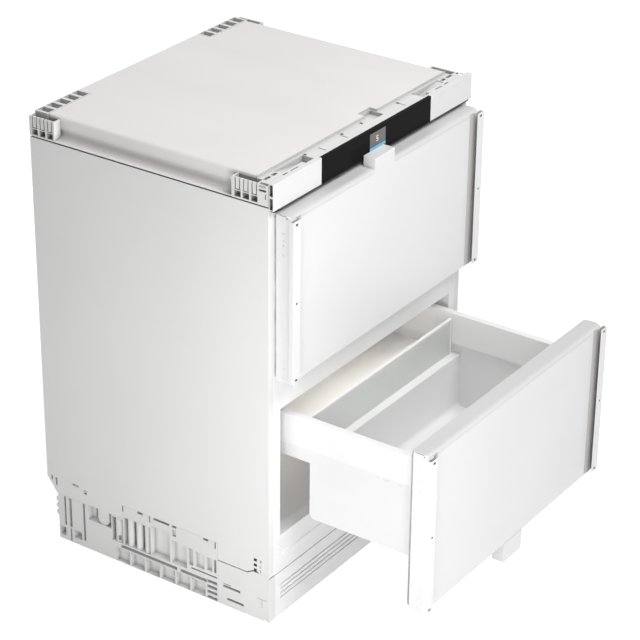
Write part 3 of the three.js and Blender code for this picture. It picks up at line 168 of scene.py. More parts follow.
def recess_shaded(name, colour, roughness, reach, darkest, power=1.0, alone=True):
    """Moulded plastic with painted shade: darker where surfaces closer than `reach`, its own ones if `alone`,
    hem it in.
    """
    material = moulded(name, colour, roughness)
    tree = material.node_tree
    shader = tree.nodes["Principled BSDF"]
    # painted shade: ambient occlusion darkens the colour in recesses
    hollow = add_node(tree, "AmbientOcclusion", {"Distance": reach})
    hollow.samples = RECESS_SAMPLES
    hollow.only_local = alone
    curve = add_node(tree, "Math")
    curve.operation = "POWER"
    curve.inputs[1].default_value = power
    tree.links.new(hollow.outputs["AO"], curve.inputs[0])
    span = add_node(tree, "MapRange", {"To Min": darkest})
    tree.links.new(curve.outputs["Value"], span.inputs["Value"])
    tint = add_node(tree, "HueSaturation")
    tree.links.new(span.outputs["Result"], tint.inputs["Value"])
    tree.links.new(shader.inputs["Base Color"].links[0].from_socket, tint.inputs["Color"])
    tree.links.new(tint.outputs["Color"], shader.inputs["Base Color"])
    return material


def brushed(name, colour, roughness, stretch):
    """Metal with fine lines along one axis."""
    material, shader = new_material(name, colour, roughness, 1.0)
    lines = noise(material, 160, 4, stretch)
    vary_colour(material, shader, lines, shade(colour, 0.88), shade(colour, 1.06))
    vary_roughness(material, shader, lines, roughness - 0.08, roughness + 0.1)
    add_bump(material, shader, lines, METAL_GRAIN)
    return material


def galvanised(name, colour):
    """Zinc-coated sheet with its spangle."""
    material, shader = new_material(name, colour, 0.4, 1.0)
    tree = material.node_tree
    place = add_node(tree, "TexCoord")
    spangle = add_node(tree, "TexVoronoi", {"Scale": 110})
    tree.links.new(place.outputs["Object"], spangle.inputs["Vector"])
    grey = add_node(tree, "RGBToBW")
    tree.links.new(spangle.outputs["Color"], grey.inputs["Color"])
    vary_colour(material, shader, grey.outputs["Val"], shade(colour, 0.86), shade(colour, 1.08))
    vary_roughness(material, shader, grey.outputs["Val"], 0.32, 0.52)
    add_bump(material, shader, noise(material, 500, 3), METAL_GRAIN)
    return material


def glowing(name, colour, strength):
    material, shader = new_material(name, colour, 0.4)
    set_inputs(shader, {"Emission Color": (*colour, 1), "Emission Strength": strength})
    vary_roughness(material, shader, noise(material, 300, 2), 0.35, 0.5)
    return material


def rubber(name, colour):
    material, shader = new_material(name, colour, 0.62)
    shader.inputs["Specular IOR Level"].default_value = 0.3
    vary_roughness(material, shader, noise(material, 120, 4), 0.55, 0.72)
    vary_colour(material, shader, noise(material, 40, 3), shade(colour, 0.85), shade(colour, 1.15))
    add_bump(material, shader, noise(material, 700, 3), FINE_GRAIN)
    return material


def dark_glass(name, colour):
    material, shader = new_material(name, colour, 0.12)
    shader.inputs["Specular IOR Level"].default_value = 0.02
    vary_roughness(material, shader, noise(material, 25, 5), 0.1, 0.18)
    vary_colour(material, shader, noise(material, 3, 2), shade(colour, 0.85), shade(colour, 1.15))
    return material


def frosted(name, colour):
    material, shader = new_material(name, colour, 0.5)
    set_inputs(shader, {"Transmission Weight": 0.7, "IOR": 1.45})
    vary_roughness(material, shader, noise(material, 200, 3), 0.42, 0.6)
    add_bump(material, shader, noise(material, 1600, 2), FINE_GRAIN)
    return material


def make_materials():
    """Every material by its name: its maker, colour and what else that takes."""
    looks = {
        "side_paint": (painted, (0.80, 0.80, 0.795), 0.42),
        "front_paint": (painted, (0.77, 0.77, 0.77), 0.4, 0.1),
        # painted light: lighter than the panels' white, to brighten the frame where the drawers shade it
        "frame_paint": (painted, (0.92, 0.92, 0.92), 0.38),
        "rail_paint": (painted, (0.80, 0.80, 0.80), 0.35),
        # the next four plastics have painted shade darkening their recesses
        "cover_plastic": (recess_shaded, (0.795, 0.785, 0.77), 0.52, 0.025, 0.25, 1.0, False),
        "block_plastic": (recess_shaded, (0.76, 0.76, 0.75), 0.5, 0.015, 0.36, 1.2, False),
        "plinth_plastic": (recess_shaded, (0.79, 0.79, 0.785), 0.52, 0.008, 0.4, 1.0),
        "fascia_plastic": (recess_shaded, (0.75, 0.75, 0.75), 0.42, 0.01, 0.03, 1.4),
        # painted shade: the drawer fronts' top caps in two greys, the first also in the cover's joint
        "cap_plastic": (moulded, (0.60, 0.60, 0.60), 0.55),
        "edge_plastic": (moulded, (0.65, 0.65, 0.65), 0.55),
        "gasket_grey": (rubber, (0.58, 0.58, 0.58)),
        "liner_plastic": (moulded, (0.90, 0.88, 0.855), 0.34, SMOOTH_GRAIN),
        "tub_plastic": (moulded, (0.80, 0.80, 0.80), 0.34, SMOOTH_GRAIN),
        "side_steel": (painted, (0.83, 0.83, 0.83), 0.34, 0.1),
        "dark_plastic": (moulded, (0.035, 0.035, 0.037), 0.5),
        "pocket_shade": (moulded, (0.12, 0.12, 0.118), 0.8),
        "seam_shade": (moulded, (0.12, 0.12, 0.118), 0.8),
        # painted shade: the next two for the rail's channel sheets and the strip beside the rail
        "channel_shade": (recess_shaded, (0.66, 0.64, 0.62), 0.7, 0.014, 0.6, 1.2, False),
        "joint_shade": (recess_shaded, (0.54, 0.53, 0.52), 0.6, 0.02, 0.3, 3.5, False),
        "louvre_plastic": (moulded, (0.93, 0.93, 0.93), 0.5),
        "clip_grey": (moulded, (0.40, 0.39, 0.38), 0.6),
        "foam": (moulded, (0.68, 0.58, 0.36), 0.9, FOAM_GRAIN),
        "zinc_steel": (galvanised, (0.62, 0.63, 0.64)),
        "aluminium": (brushed, (0.78, 0.79, 0.8), 0.32, (1, 1, 14)),
        "black_steel": (painted, (0.016, 0.016, 0.017), 0.34, 0.4),
        "copper": (brushed, (0.72, 0.36, 0.22), 0.3, (1, 1, 1)),
        "screw_steel": (brushed, (0.10, 0.10, 0.105), 0.4, (1, 1, 6)),
        "bright_steel": (brushed, (0.66, 0.66, 0.67), 0.28, (1, 1, 6)),
        "label": (moulded, (0.82, 0.82, 0.81), 0.4, SMOOTH_GRAIN),
        "label_ink": (moulded, (0.10, 0.10, 0.10), 0.5, SMOOTH_GRAIN),
        "light_diffuser": (glowing, (1.0, 0.95, 0.87), 6),
        "digit_light": (glowing, (0.72, 0.60, 0.60), 0.45),
        "line_light": (glowing, (0.13, 0.38, 0.53), 0.4),
        "display_window": (moulded, (0.11, 0.11, 0.10), 0.3, SMOOTH_GRAIN),
        "rubber": (rubber, (0.025, 0.025, 0.026)),
        "foot_rubber": (rubber, (0.05, 0.05, 0.052)),
        "black_glass": (dark_glass, (0.007, 0.007, 0.007)),
        "frosted_plastic": (frosted, (0.88, 0.90, 0.89)),
    }
    return {name: make(name, *values) for name, (make, *values) in looks.items()}


MATERIALS = make_materials()

# each material with how the names of its nodes begin
NODES_OF = {
    "side_paint": ("side_panel_", "back_panel"),
    "cover_plastic": ("top_cover",),
    "block_plastic": ("top_front_rail", "corner_block_"),
    "fascia_plastic": ("fascia",),
    "black_glass": ("control_glass",),
    "dark_plastic": ("control_module", "condenser_fan", "fan_shroud", "drip_tray", "mains_inlet"),
    "frame_paint": ("face_frame",),
    "foam": ("insulation_foam",),
    "liner_plastic": ("inner_liner",),
    "aluminium": ("evaporator_plate", "condenser"),
    "light_diffuser": ("led_strip_",),
    "zinc_steel": ("base_tray", "inlet_bracket"),
    "plinth_plastic": ("plinth_",),
    "louvre_plastic": ("kick_grille",),
    "black_steel": ("compressor",),
    "foot_rubber": ("foot_",),
    "frosted_plastic": ("lower_divider",),
}
# the same for both drawers' nodes, after upper_ or lower_
DRAWER_NODES_OF = {
    "front_paint": ("front", "bracket"),
    "rubber": ("gasket",),
    "tub_plastic": ("tub",),
    "side_steel": ("drawer_side_",),
    "rail_paint": ("fixing_rail_",),
    "zinc_steel": ("cabinet_runner_", "middle_runner_"),
}
NODE_ROUNDING = 0.5 * MM
WELD_REACH = 0.01 * MM
FLAT_ANGLE = math.radians(0.5)
EDGE_ANGLE = math.radians(30)


def soften(piece, width):
    """Rounds a piece's edges, as bent sheet and moulded plastic have them."""
    weld = piece.modifiers.new("weld", "WELD")
    weld.merge_threshold = WELD_REACH
    flat = piece.modifiers.new("flat", "DECIMATE")
    flat.decimate_type = "DISSOLVE"
    flat.angle_limit = FLAT_ANGLE
    bevel = piece.modifiers.new("bevel", "BEVEL")
    bevel.width = width
    bevel.segments = 2
    bevel.limit_method = "ANGLE"
    bevel.angle_limit = EDGE_ANGLE
    bevel.use_clamp_overlap = True
    bevel.harden_normals = True


def dress_nodes():
    """Gives every node its material, and all but the corner blocks rounded edges."""
    chosen = {start: material for material, starts in NODES_OF.items() for start in starts}
    for material, starts in DRAWER_NODES_OF.items():
        chosen.update({drawer + start: material for drawer in ("upper_", "lower_") for start in starts})
    for name, node in nodes.items():
        longest = max((start for start in chosen if name.startswith(start)), key=len)
        node.data.materials.clear()
        node.data.materials.append(MATERIALS[chosen[longest]])
        if "corner_block" not in name:
            soften(node, NODE_ROUNDING)


# ---- pieces


def add_piece(name, mesh, material, body):
    piece = bpy.data.objects.new(name, mesh)
    bpy.context.scene.collection.objects.link(piece)
    mesh.materials.append(MATERIALS[material])
    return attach(piece, body)


def finish_mesh(name, made, smooth_angle=35):
    """Turns a bmesh into a mesh that is smooth up to an angle."""
    bmesh.ops.recalc_face_normals(made, faces=made.faces)
    for edge in made.edges:
        edge.smooth = edge.is_manifold and edge.calc_face_angle(0) < math.radians(smooth_angle)
    for face in made.faces:
        face.smooth = True
    mesh = bpy.data.meshes.new(name)
    made.to_mesh(mesh)
    made.free()
    return mesh


def lofted(name, loops, material, body, closed=False, smooth_angle=35):
    """One piece that runs through stacked loops of points."""
    made = bmesh.new()
    stack_loops(made, loops, closed)
    return add_piece(name, finish_mesh(name, made, smooth_angle), material, body)


def outer_side(box, sign):
    """The x of a box's left side (sign -1) or right side (sign 1)."""
    return box[0].x if sign < 0 else box[1].x


def add_box(made, low, high):
    """A box between two corners, in metres."""
    size = [b - a for a, b in zip(low, high)]
    middle = [(a + b) / 2 for a, b in zip(low, high)]
    corner = bmesh.ops.create_cube(made, size=1)["verts"]
    bmesh.ops.scale(made, vec=size, verts=corner)
    bmesh.ops.translate(made, vec=middle, verts=corner)


def blocks(name, spans, material, body, rounding=0.3 * MM):
    """Boxes with rounded edges, joined into one piece. Each span is its two corners."""
    made = bmesh.new()
    for low, high in spans:
        ordered = [sorted(pair) for pair in zip(low, high)]
        add_box(made, [pair[0] for pair in ordered], [pair[1] for pair in ordered])
    piece = add_piece(name, finish_mesh(name, made), material, body)
    if rounding:
        soften(piece, rounding)
    return piece


def stack_loops(made, loops, closed):
    """Bridges loops of equally many points, and caps the ends or joins the last loop to the first."""
    rings = [[made.verts.new(point) for point in loop] for loop in loops]
    count = len(rings[0])
    pairs = list(zip(rings, rings[1:])) + ([(rings[-1], rings[0])] if closed else [])
    for first, second in pairs:
        for i in range(count):
            made.faces.new((first[i], first[(i + 1) % count], second[(i + 1) % count], second[i]))
    if not closed:
        made.faces.new(rings[0])
        made.faces.new(rings[-1])


def rounded_rectangle(x, z, inset, radius, steps=6):
    """Points round a rectangle that stands `inset` inside the spans x and z."""
    x0, x1, z0, z1 = x[0] + inset, x[1] - inset, z[0] + inset, z[1] - inset
    centres = ((x1 - radius, z1 - radius, 0), (x0 + radius, z1 - radius, 90),
               (x0 + radius, z0 + radius, 180), (x1 - radius, z0 + radius, 270))
    points = []
    for u, v, start in centres:
        for step in range(steps + 1):
            angle = math.radians(start + 90 * step / steps)
            points.append((u + radius * math.cos(angle), v + radius * math.sin(angle)))
    return points


def turned(name, profile, centres, material, segments, smooth_angle=35):
    """Upright turned solids of the cabinet; the profile's pairs are radius and height, in metres."""
    frame_of = Vector((0, 0, 1)).to_track_quat("Z", "Y").to_matrix()
    angles = [2 * math.pi * i / segments for i in range(segments)]
    made = bmesh.new()
    for centre in centres:
        loops = []
        for radius, height in profile:
            ring = [Vector((radius * math.cos(a), radius * math.sin(a), height)) for a in angles]
            loops.append([frame_of @ point + Vector(centre) for point in ring])
        stack_loops(made, loops, False)
    return add_piece(name, finish_mesh(name, made, smooth_angle), material, "cabinet")


# each ring's radius and height, as shares of the screw's radius, and whether it has the socket's six sides
SCREW_RINGS = ((1, 0, False), (1, 0.35, False), (0.8, 0.62, False), (0.5, 0.66, True), (0.46, 0.2, True))
SCREW_SEGMENTS = 24


def screw(made, centre, axis, radius):
    """A flat-headed screw with a six-sided socket."""
    frame_of = Vector(axis).to_track_quat("Z", "Y").to_matrix()
    loops = []
    for share, height, socket in SCREW_RINGS:
        ring = []
        for i in range(SCREW_SEGMENTS):
            angle = 2 * math.pi * i / SCREW_SEGMENTS
            side = math.cos(math.pi / 6) / math.cos(angle % (math.pi / 3) - math.pi / 6) if socket else 1
            ring.append(Vector((share * side * math.cos(angle), share * side * math.sin(angle), height)))
        loops.append([frame_of @ (point * radius) + Vector(centre) for point in ring])
    stack_loops(made, loops, False)


def screws(name, centres, axis, radius, material, body):
    made = bmesh.new()
    for centre in centres:
        screw(made, centre, axis, radius)
    return add_piece(name, finish_mesh(name, made), material, body)


def eased(points, radius, steps=6):
    """A path with its corners rounded."""
    path = [Vector(points[0])]
    for before, corner, after in zip(points, points[1:], points[2:]):
        before, corner, after = Vector(before), Vector(corner), Vector(after)
        reach = min(radius, (before - corner).length * 0.49, (after - corner).length * 0.49)
        start = corner + (before - corner).normalized() * reach
        end = corner + (after - corner).normalized() * reach
        for i in range(steps + 1):
            t = i / steps
            path.append(start.lerp(corner, t).lerp(corner.lerp(end, t), t))
    return path + [Vector(points[-1])]


TUBE_BEND = 14 * MM


def tube(name, points, radius, material="copper", bend=TUBE_BEND):
    """A round tube or cable of the cabinet, along a path whose corners are bent."""
    curve = bpy.data.curves.new(name, "CURVE")
    curve.dimensions = "3D"
    curve.bevel_depth = radius
    curve.bevel_resolution = 4
    curve.use_fill_caps = True
    path = eased(points, bend)
    spline = curve.splines.new("POLY")
    spline.points.add(len(path) - 1)
    for point, place in zip(spline.points, path):
        point.co = (*place, 1)
    drawn = bpy.data.objects.new(name + "_path", curve)
    bpy.context.scene.collection.objects.link(drawn)
    mesh = bpy.data.meshes.new_from_object(drawn.evaluated_get(bpy.context.evaluated_depsgraph_get()))
    bpy.data.objects.remove(drawn)
    bpy.data.curves.remove(curve)
    mesh.name = name
    mesh.materials.clear()
    for polygon in mesh.polygons:
        polygon.use_smooth = True
    return add_piece(name, mesh, material, "cabinet")


# ---- display

WINDOW_X = (-24 * MM, 23 * MM)
WINDOW_TOP = 8 * MM  # under the glass's upper edge
WINDOW_HEIGHT = 26 * MM
WINDOW_SKIN = 0.15 * MM
WINDOW_DEPTH = 0.5 * MM
LINE_HEIGHT = 6 * MM
LINE_DROP = 33 * MM
DIGIT_HEIGHT = 8.5 * MM
DIGIT_WIDTH = 5.5 * MM
DIGIT_STROKE = 1.3 * MM
DIGIT_X = -2 * MM
DIGIT_SKIN = 0.3 * MM


def add_display():
    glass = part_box("control_glass")
    face = glass[0].y
    top = glass[1].z - WINDOW_TOP
    low = glass[1].z - LINE_DROP - LINE_HEIGHT
    rows = (("display_window", "display_window", top - WINDOW_HEIGHT, top),
            ("display_light_line", "line_light", low, low + LINE_HEIGHT))
    for name, material, lower, upper in rows:
        blocks(name, [((WINDOW_X[0], face - WINDOW_SKIN, lower), (WINDOW_X[1], face + WINDOW_DEPTH, upper))],
               material, "cabinet", 0.1 * MM)
    base = top - (WINDOW_HEIGHT + DIGIT_HEIGHT) / 2
    left, right = DIGIT_X - DIGIT_WIDTH / 2, DIGIT_X + DIGIT_WIDTH / 2
    rows = [base + DIGIT_HEIGHT * share for share in (0, 0.5, 1)]
    bars = [((left, right), (z - DIGIT_STROKE / 2, z + DIGIT_STROKE / 2)) for z in rows]
    bars.append(((left, left + DIGIT_STROKE), (rows[1], rows[2])))
    bars.append(((right - DIGIT_STROKE, right), (rows[0], rows[1])))
    spans = [((x[0], face - DIGIT_SKIN, z[0]), (x[1], face, z[1])) for x, z in bars]
    blocks("display_digit", spans, "digit_light", "cabinet", 0)


# ---- gaskets

GASKET_INSET = 0.6 * MM  # the folded lip stands in from the drawer front's outline
GASKET_CORNER = 20  # the corners' radius is half of what the inset leaves of these millimetres
# millimetres in, and share of the depth
GASKET_SECTION = ((3, 0), (17, 0), (17, 0.3), (13.5, 0.42), (14.5, 0.55), (13, 0.7), (13, 1),
                  (1, 1), (0, 0.9), (0, 0.68), (3.5, 0.55), (1.5, 0.4), (3, 0.28))


def add_gaskets():
    for name in ("upper", "lower"):
        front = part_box(name + "_front")
        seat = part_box(name + "_gasket")
        x = (front[0].x + GASKET_INSET, front[1].x - GASKET_INSET)
        z = (front[0].z + GASKET_INSET, front[1].z - GASKET_INSET)
        depth = seat[1].y - seat[0].y
        loops = []
        for inset, share in GASKET_SECTION:
            ring = rounded_rectangle(x, z, inset * MM, (GASKET_CORNER - inset) * 0.5 * MM)
            loops.append([(u, seat[0].y + share * depth, v) for u, v in ring])
        piece = lofted(name + "_gasket_bellows", loops, "gasket_grey", name + "_drawer", closed=True)
        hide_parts(name + "_gasket")


# ---- drawers

RAIL_WALL = 1.4 * MM
RAIL_END = 1 * MM  # the painted shade sheets stop this far from the rail's ends
# thickness of the painted shade sheets, also an offset of the shade strip
SHADE_SHEET = 0.5 * MM
RAIL_SCREW_INSET = 6 * MM
RAIL_SCREW_RADIUS = 2.9 * MM
SCREW_HEAD = 0.7  # a head's height as a share of its radius
RAIL_SHADE_STRIP = 12.5 * MM  # the wedge strip of painted shade on the drawer front beside the rail
RAIL_SHADE_EDGE = 0.1 * MM


def add_rail_details(name, side, sign):
    """A fixing rail's screws, with painted shade: dark sheets in its channel and a strip beside it on the
    drawer front.
    """
    body = name + "_drawer"
    low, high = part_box(f"{name}_fixing_rail_{side}")
    outer, inner = (low.x, high.x) if sign < 0 else (high.x, low.x)
    back = high.y - RAIL_WALL
    wall = outer - sign * RAIL_WALL
    ends = (low.z + RAIL_END, high.z - RAIL_END)
    # painted shade: dark sheets lining the rail's channel
    blocks(f"{name}_rail_shade_sheets_{side}", [
        ((inner, back - SHADE_SHEET, ends[0]), (wall, back, ends[1])),
        ((wall - sign * SHADE_SHEET, low.y + RAIL_WALL, ends[0]), (wall, back, ends[1])),
    ], "channel_shade", body, 0)
    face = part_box(name + "_front")[0].y
    # painted shade: a wedge strip on the drawer front, darker towards the rail
    thin, thick = inner - sign * RAIL_SHADE_STRIP, inner + sign * SHADE_SHEET
    section = ((thin, face + SHADE_SHEET), (thin, face - RAIL_SHADE_EDGE), (thick, back - 2 * SHADE_SHEET),
               (thick, face + SHADE_SHEET))
    loops = [[(x, y, z) for x, y in section] for z in (low.z, high.z)]
    lofted(f"{name}_rail_shade_strip_{side}", loops, "joint_shade", body)
    middle = (inner + outer) / 2
    heights = (low.z + RAIL_SCREW_INSET, (low.z + high.z) / 2, high.z - RAIL_SCREW_INSET)
    places = [(middle, low.y + SCREW_HEAD * RAIL_SCREW_RADIUS, height) for height in heights]
    screws(f"{name}_rail_screws_{side}", places, (0, -1, 0), RAIL_SCREW_RADIUS, "screw_steel", body)


CAP_SEAM = 0.9 * MM
CAP_SEAM_START = 4 * MM  # before the gasket's front
CAP_SEAM_END = 9 * MM  # behind the drawer front's face
CAP_SEAM_DROP = 0.6 * MM
CAP_SEAM_RISE = 0.1 * MM
CAP_SCREW_SINK = 0.4 * MM
CAP_SCREW_DEPTH = 8 * MM
CAP_SCREW_DROP = 3 * MM
CAP_SCREW_RADIUS = 1.4 * MM
CLIP_RISE = 0.5 * MM
# millimetres in from the drawer front's side, and down from its upper edge
CLIPS = (((14, 16.5), (11.5, 15)), ((15, 16.5), (20.5, 23)))


def add_front_details(name, side, sign):
    """The end cap's seam along a drawer front's upper edge, a dark strip of painted shade, with its screw and
    clip.
    """
    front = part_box(name + "_front")
    edge = outer_side(front, sign)
    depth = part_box(name + "_gasket")[0].y
    face = front[0].y
    top = front[1].z
    body = name + "_drawer"
    # painted shade: a dark strip along the seam
    blocks(f"{name}_front_seam_{side}", [
        ((edge - sign * CAP_SEAM, depth - CAP_SEAM_START, top - CAP_SEAM_DROP),
         (edge, face + CAP_SEAM_END, top + CAP_SEAM_RISE)),
    ], "seam_shade", body, 0)
    place = (edge - sign * CAP_SCREW_SINK, face + CAP_SCREW_DEPTH, top - CAP_SCREW_DROP)
    screws(f"{name}_front_screw_{side}", [place], (sign, 0, 0), CAP_SCREW_RADIUS, "screw_steel", body)
    spans = [((edge - sign * across[0] * MM, face - CLIP_RISE, top - down[1] * MM),
              (edge - sign * across[1] * MM, face, top - down[0] * MM)) for across, down in CLIPS]
    blocks(f"{name}_front_clip_{side}", spans, "clip_grey", body, 0.2 * MM)


CAP_MARGIN = 3 * MM
CAP_RISE = 0.3 * MM
CAP_RADIUS = 8 * MM
CAP_TURN = 38  # degrees over the rounded edge
# painted shade: the flat top's grey is darker than the rounded edge's
CAP_PARTS = (("cap", "cap_plastic", 0, CAP_TURN), ("edge", "edge_plastic", CAP_TURN, 90))
CAP_STEPS = 6


def cap_arc(centre, radius, start, end):
    """Points over the rounded upper edge, between two angles from the top."""
    angles = [math.radians(start + (end - start) * i / CAP_STEPS) for i in range(CAP_STEPS + 1)]
    return [(centre[0] - radius * math.sin(a), centre[1] + radius * math.cos(a)) for a in angles]


def add_front_cap(name):
    """The strips that close a drawer front's upper edge and lap over its gasket; their two greys, darker on
    the top than over the rounded edge, are painted shade.
    """
    low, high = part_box(name + "_front")
    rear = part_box(name + "_gasket")[1].y
    middle = (low.y + CAP_RADIUS, high.z - CAP_RADIUS)
    for part, material, start, end in CAP_PARTS:
        outer = cap_arc(middle, CAP_RADIUS + CAP_RISE, start, end)
        inner = cap_arc(middle, CAP_RADIUS - CAP_RISE, start, end)
        if part == "cap":
            outer.insert(0, (rear, outer[0][1]))
            inner.insert(0, (rear, inner[0][1]))
        section = outer + inner[::-1]
        loops = [[(x, y, z) for y, z in section] for x in (low.x + CAP_MARGIN, high.x - CAP_MARGIN)]
        lofted(f"{name}_front_{part}", loops, material, name + "_drawer")


BRACKET_SKIN = 0.35 * MM


def add_bracket_face():
    """The upper bracket's face, which runs down into the drawer front's own."""
    low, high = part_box("upper_bracket")
    skin = BRACKET_SKIN
    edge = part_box("upper_front")[1].z - CAP_RADIUS
    blocks("upper_bracket_face", [((low.x + skin, low.y - skin, edge - skin),
                                   (high.x - skin, low.y + CAP_RADIUS, high.z - skin))],
           "front_paint", "upper_drawer", 0.2 * MM)


# millimetres behind the drawer front's face, with their lengths and heights
LATCH_MARKS = ((76, 7, 2.2), (101, 12, 1.4), (123, 5, 3.5))
LATCH_DROP = 2  # millimetres under the drawer side
LATCH_RISE = 1.2 * MM
BEAD_END = 4 * MM
BEAD_BASE = 4 * MM
BEAD_TOP = 5.4 * MM
BEAD_RISE = 0.7 * MM


def add_drawer_details(name):
    body = name + "_drawer"
    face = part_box(name + "_front")[0].y
    add_front_cap(name)
    for side, sign in (("left", -1), ("right", 1)):
        add_rail_details(name, side, sign)
        add_front_details(name, side, sign)
        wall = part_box(f"{name}_drawer_side_{side}")
        outer = outer_side(wall, sign)
        tub_side = outer_side(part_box(name + "_tub"), sign)
        line = wall[0].z
        spans = [((tub_side, face + y * MM, line - (LATCH_DROP + height) * MM),
                  (tub_side + sign * LATCH_RISE, face + (y + length) * MM, line - LATCH_DROP * MM))
                 for y, length, height in LATCH_MARKS]
        blocks(f"{name}_latch_marks_{side}", spans, "label", body, 0.3 * MM)
        blocks(f"{name}_side_bead_{side}", [
            ((outer, wall[0].y + BEAD_END, line + BEAD_BASE),
             (outer + sign * BEAD_RISE, wall[1].y - BEAD_END, line + BEAD_TOP)),
        ], "side_steel", body, 0.3 * MM)


TRIM_LIP = 0.8 * MM
TRIM_HEIGHT = 5 * MM
TRIM_RISE = 0.6 * MM
TRIM_WIDTH = 4 * MM


def add_divider_trim():
    low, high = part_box("lower_divider")
    y = (low.y - TRIM_LIP, high.y + TRIM_LIP)
    base = high.z - TRIM_HEIGHT
    blocks("divider_top_trim", [((low.x, y[0], base), (high.x, y[1], high.z + TRIM_RISE))],
           "side_steel", "lower_divider", 0.5 * MM)
    ends = [((x, y[0], low.z), (x + sign * TRIM_WIDTH, y[1], base))
            for x, sign in ((low.x, 1), (high.x, -1))]
    blocks("divider_end_trims", ends, "side_steel", "lower_divider", 0.5 * MM)


# ---- cabinet

POCKET_COUNT = 3
POCKET_PITCH = 16.7 * MM
POCKET_WIDTH = 12.6 * MM
POCKET_HEIGHT = 10.5 * MM
POCKET_RISE = 5 * MM
POCKET_MARGIN = 5.6 * MM
POCKET_DEPTH = 9 * MM
POCKET_FLOOR = 1.2 * MM


def add_pocket_floors():
    """Painted shade: dark sheets on the floors of the corner blocks' square pockets."""
    for side, sign in (("left", -1), ("right", 1)):
        for block in ("front", "rear"):
            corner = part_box(f"corner_block_{block}_{side}")
            outer = outer_side(corner, sign)
            x = (outer - sign * POCKET_DEPTH, outer - sign * (POCKET_DEPTH - POCKET_FLOOR))
            z = corner[0].z + POCKET_RISE
            spans = []
            for i in range(POCKET_COUNT):
                y = corner[1].y - POCKET_MARGIN - POCKET_WIDTH - i * POCKET_PITCH
                spans.append(((x[0], y, z), (x[1], y + POCKET_WIDTH, z + POCKET_HEIGHT)))
            blocks(f"pocket_shade_sheets_{block}_{side}", spans, "pocket_shade", "cabinet", 0)


# the black strip of painted shade under the fascia
FASCIA_SHADE_DEPTH = 8 * MM
FASCIA_SHADE_END = 5 * MM  # from the fascia's ends
FASCIA_SHADE_DROP = 4.2 * MM  # under the fascia
FASCIA_SHADE_LAP = 0.4 * MM
SEAM_HEIGHT = 2.4 * MM
SEAM_DEPTH = 4.6 * MM
SEAM_RIM = 1.3 * MM  # from the side panel's face
SEAM_SHEET = 0.3 * MM
SEAM_WALL = 1.2 * MM
SEAM_END = 1 * MM


def add_frame_shade():
    """Painted shade: a black strip under the fascia, and dark strips in the open seams over the side panels.
    """
    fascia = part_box("fascia")
    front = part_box("face_frame")[0].y
    base = fascia[0].z
    # painted shade: a black strip in the dark gap under the fascia
    blocks("fascia_shade_strip", [((fascia[0].x + FASCIA_SHADE_END, front - FASCIA_SHADE_DEPTH, base - FASCIA_SHADE_DROP),
                            (fascia[1].x - FASCIA_SHADE_END, front, base + FASCIA_SHADE_LAP))], "rubber", "cabinet", 0.4 * MM)
    for side, sign in (("left", -1), ("right", 1)):
        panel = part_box("side_panel_" + side)
        outer = outer_side(panel, sign)
        rim = outer - sign * SEAM_RIM
        inner = outer - sign * SEAM_DEPTH
        y = (panel[0].y + SEAM_END, panel[1].y - SEAM_END)
        top = panel[1].z
        # painted shade: dark strips in the open seam over the side panel
        blocks("cover_seam_shade_" + side, [
            ((inner, y[0], top - SEAM_SHEET), (rim, y[1], top + SEAM_SHEET)),
            ((inner, y[0], top), (inner + sign * SEAM_WALL, y[1], top + SEAM_HEIGHT)),
        ], "seam_shade", "cabinet", 0)


JOINT_WIDTH = 0.9 * MM
JOINT_DROP = 1 * MM  # under the rail's top
JOINT_TOP = 0.2 * MM  # under the cover's top
JOINT_TONGUE = (25.7 * MM, 62.3 * MM)
TONGUE_GAP = 0.3 * MM
TONGUE_EDGE = 2 * MM  # over the rail's top, where the cover's wall begins


def add_cover_joint():
    """Painted shade in the joint between the top cover and the lower front rail, also round the rail's tongue:
    a grey strip.
    """
    low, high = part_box("top_cover")
    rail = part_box("top_front_rail")[1]
    left, right = JOINT_TONGUE
    base = rail.z - JOINT_DROP
    edge = rail.z + TONGUE_EDGE
    corner = rail.y + TONGUE_GAP
    spans = [((start, low.y - JOINT_WIDTH, base), (end, low.y, high.z - JOINT_TOP))
             for start, end in ((-rail.x, left), (right, rail.x))]
    spans += [((start, low.y, base), (start + TONGUE_GAP, corner, edge))
              for start in (left, right - TONGUE_GAP)]
    spans.append(((left, corner - TONGUE_GAP, base), (right, corner, edge)))
    blocks("cover_joint_shade", spans, "cap_plastic", "cabinet", 0)


# ---- grille

SLITS = 4
SLIT_PITCH = 9.2 * MM
SLIT_HEIGHT = 3.6 * MM
SLIT_TOP = 66 * MM  # over the floor
LOUVRE_END = 15 * MM
LOUVRE_LAP = 1 * MM
LOUVRE_WALL = 0.8 * MM
LOUVRE_RUN = 9 * MM
LOUVRE_RISE = 5 * MM


def add_louvres():
    """Sloping blades behind the kick grille's slits."""
    low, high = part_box("kick_grille")
    near, far = high.y - LOUVRE_LAP, high.y + LOUVRE_RUN
    made = bmesh.new()
    for i in range(SLITS):
        base = SLIT_TOP - i * SLIT_PITCH - SLIT_HEIGHT
        section = ((near, base - LOUVRE_WALL), (near, base), (far, base + LOUVRE_RISE),
                   (far, base + LOUVRE_RISE - LOUVRE_WALL))
        loops = [[(u, y, z) for y, z in section] for u in (low.x + LOUVRE_END, high.x - LOUVRE_END)]
        stack_loops(made, loops, False)
    add_piece("grille_louvres", finish_mesh("grille_louvres", made), "louvre_plastic", "cabinet")


# ---- back

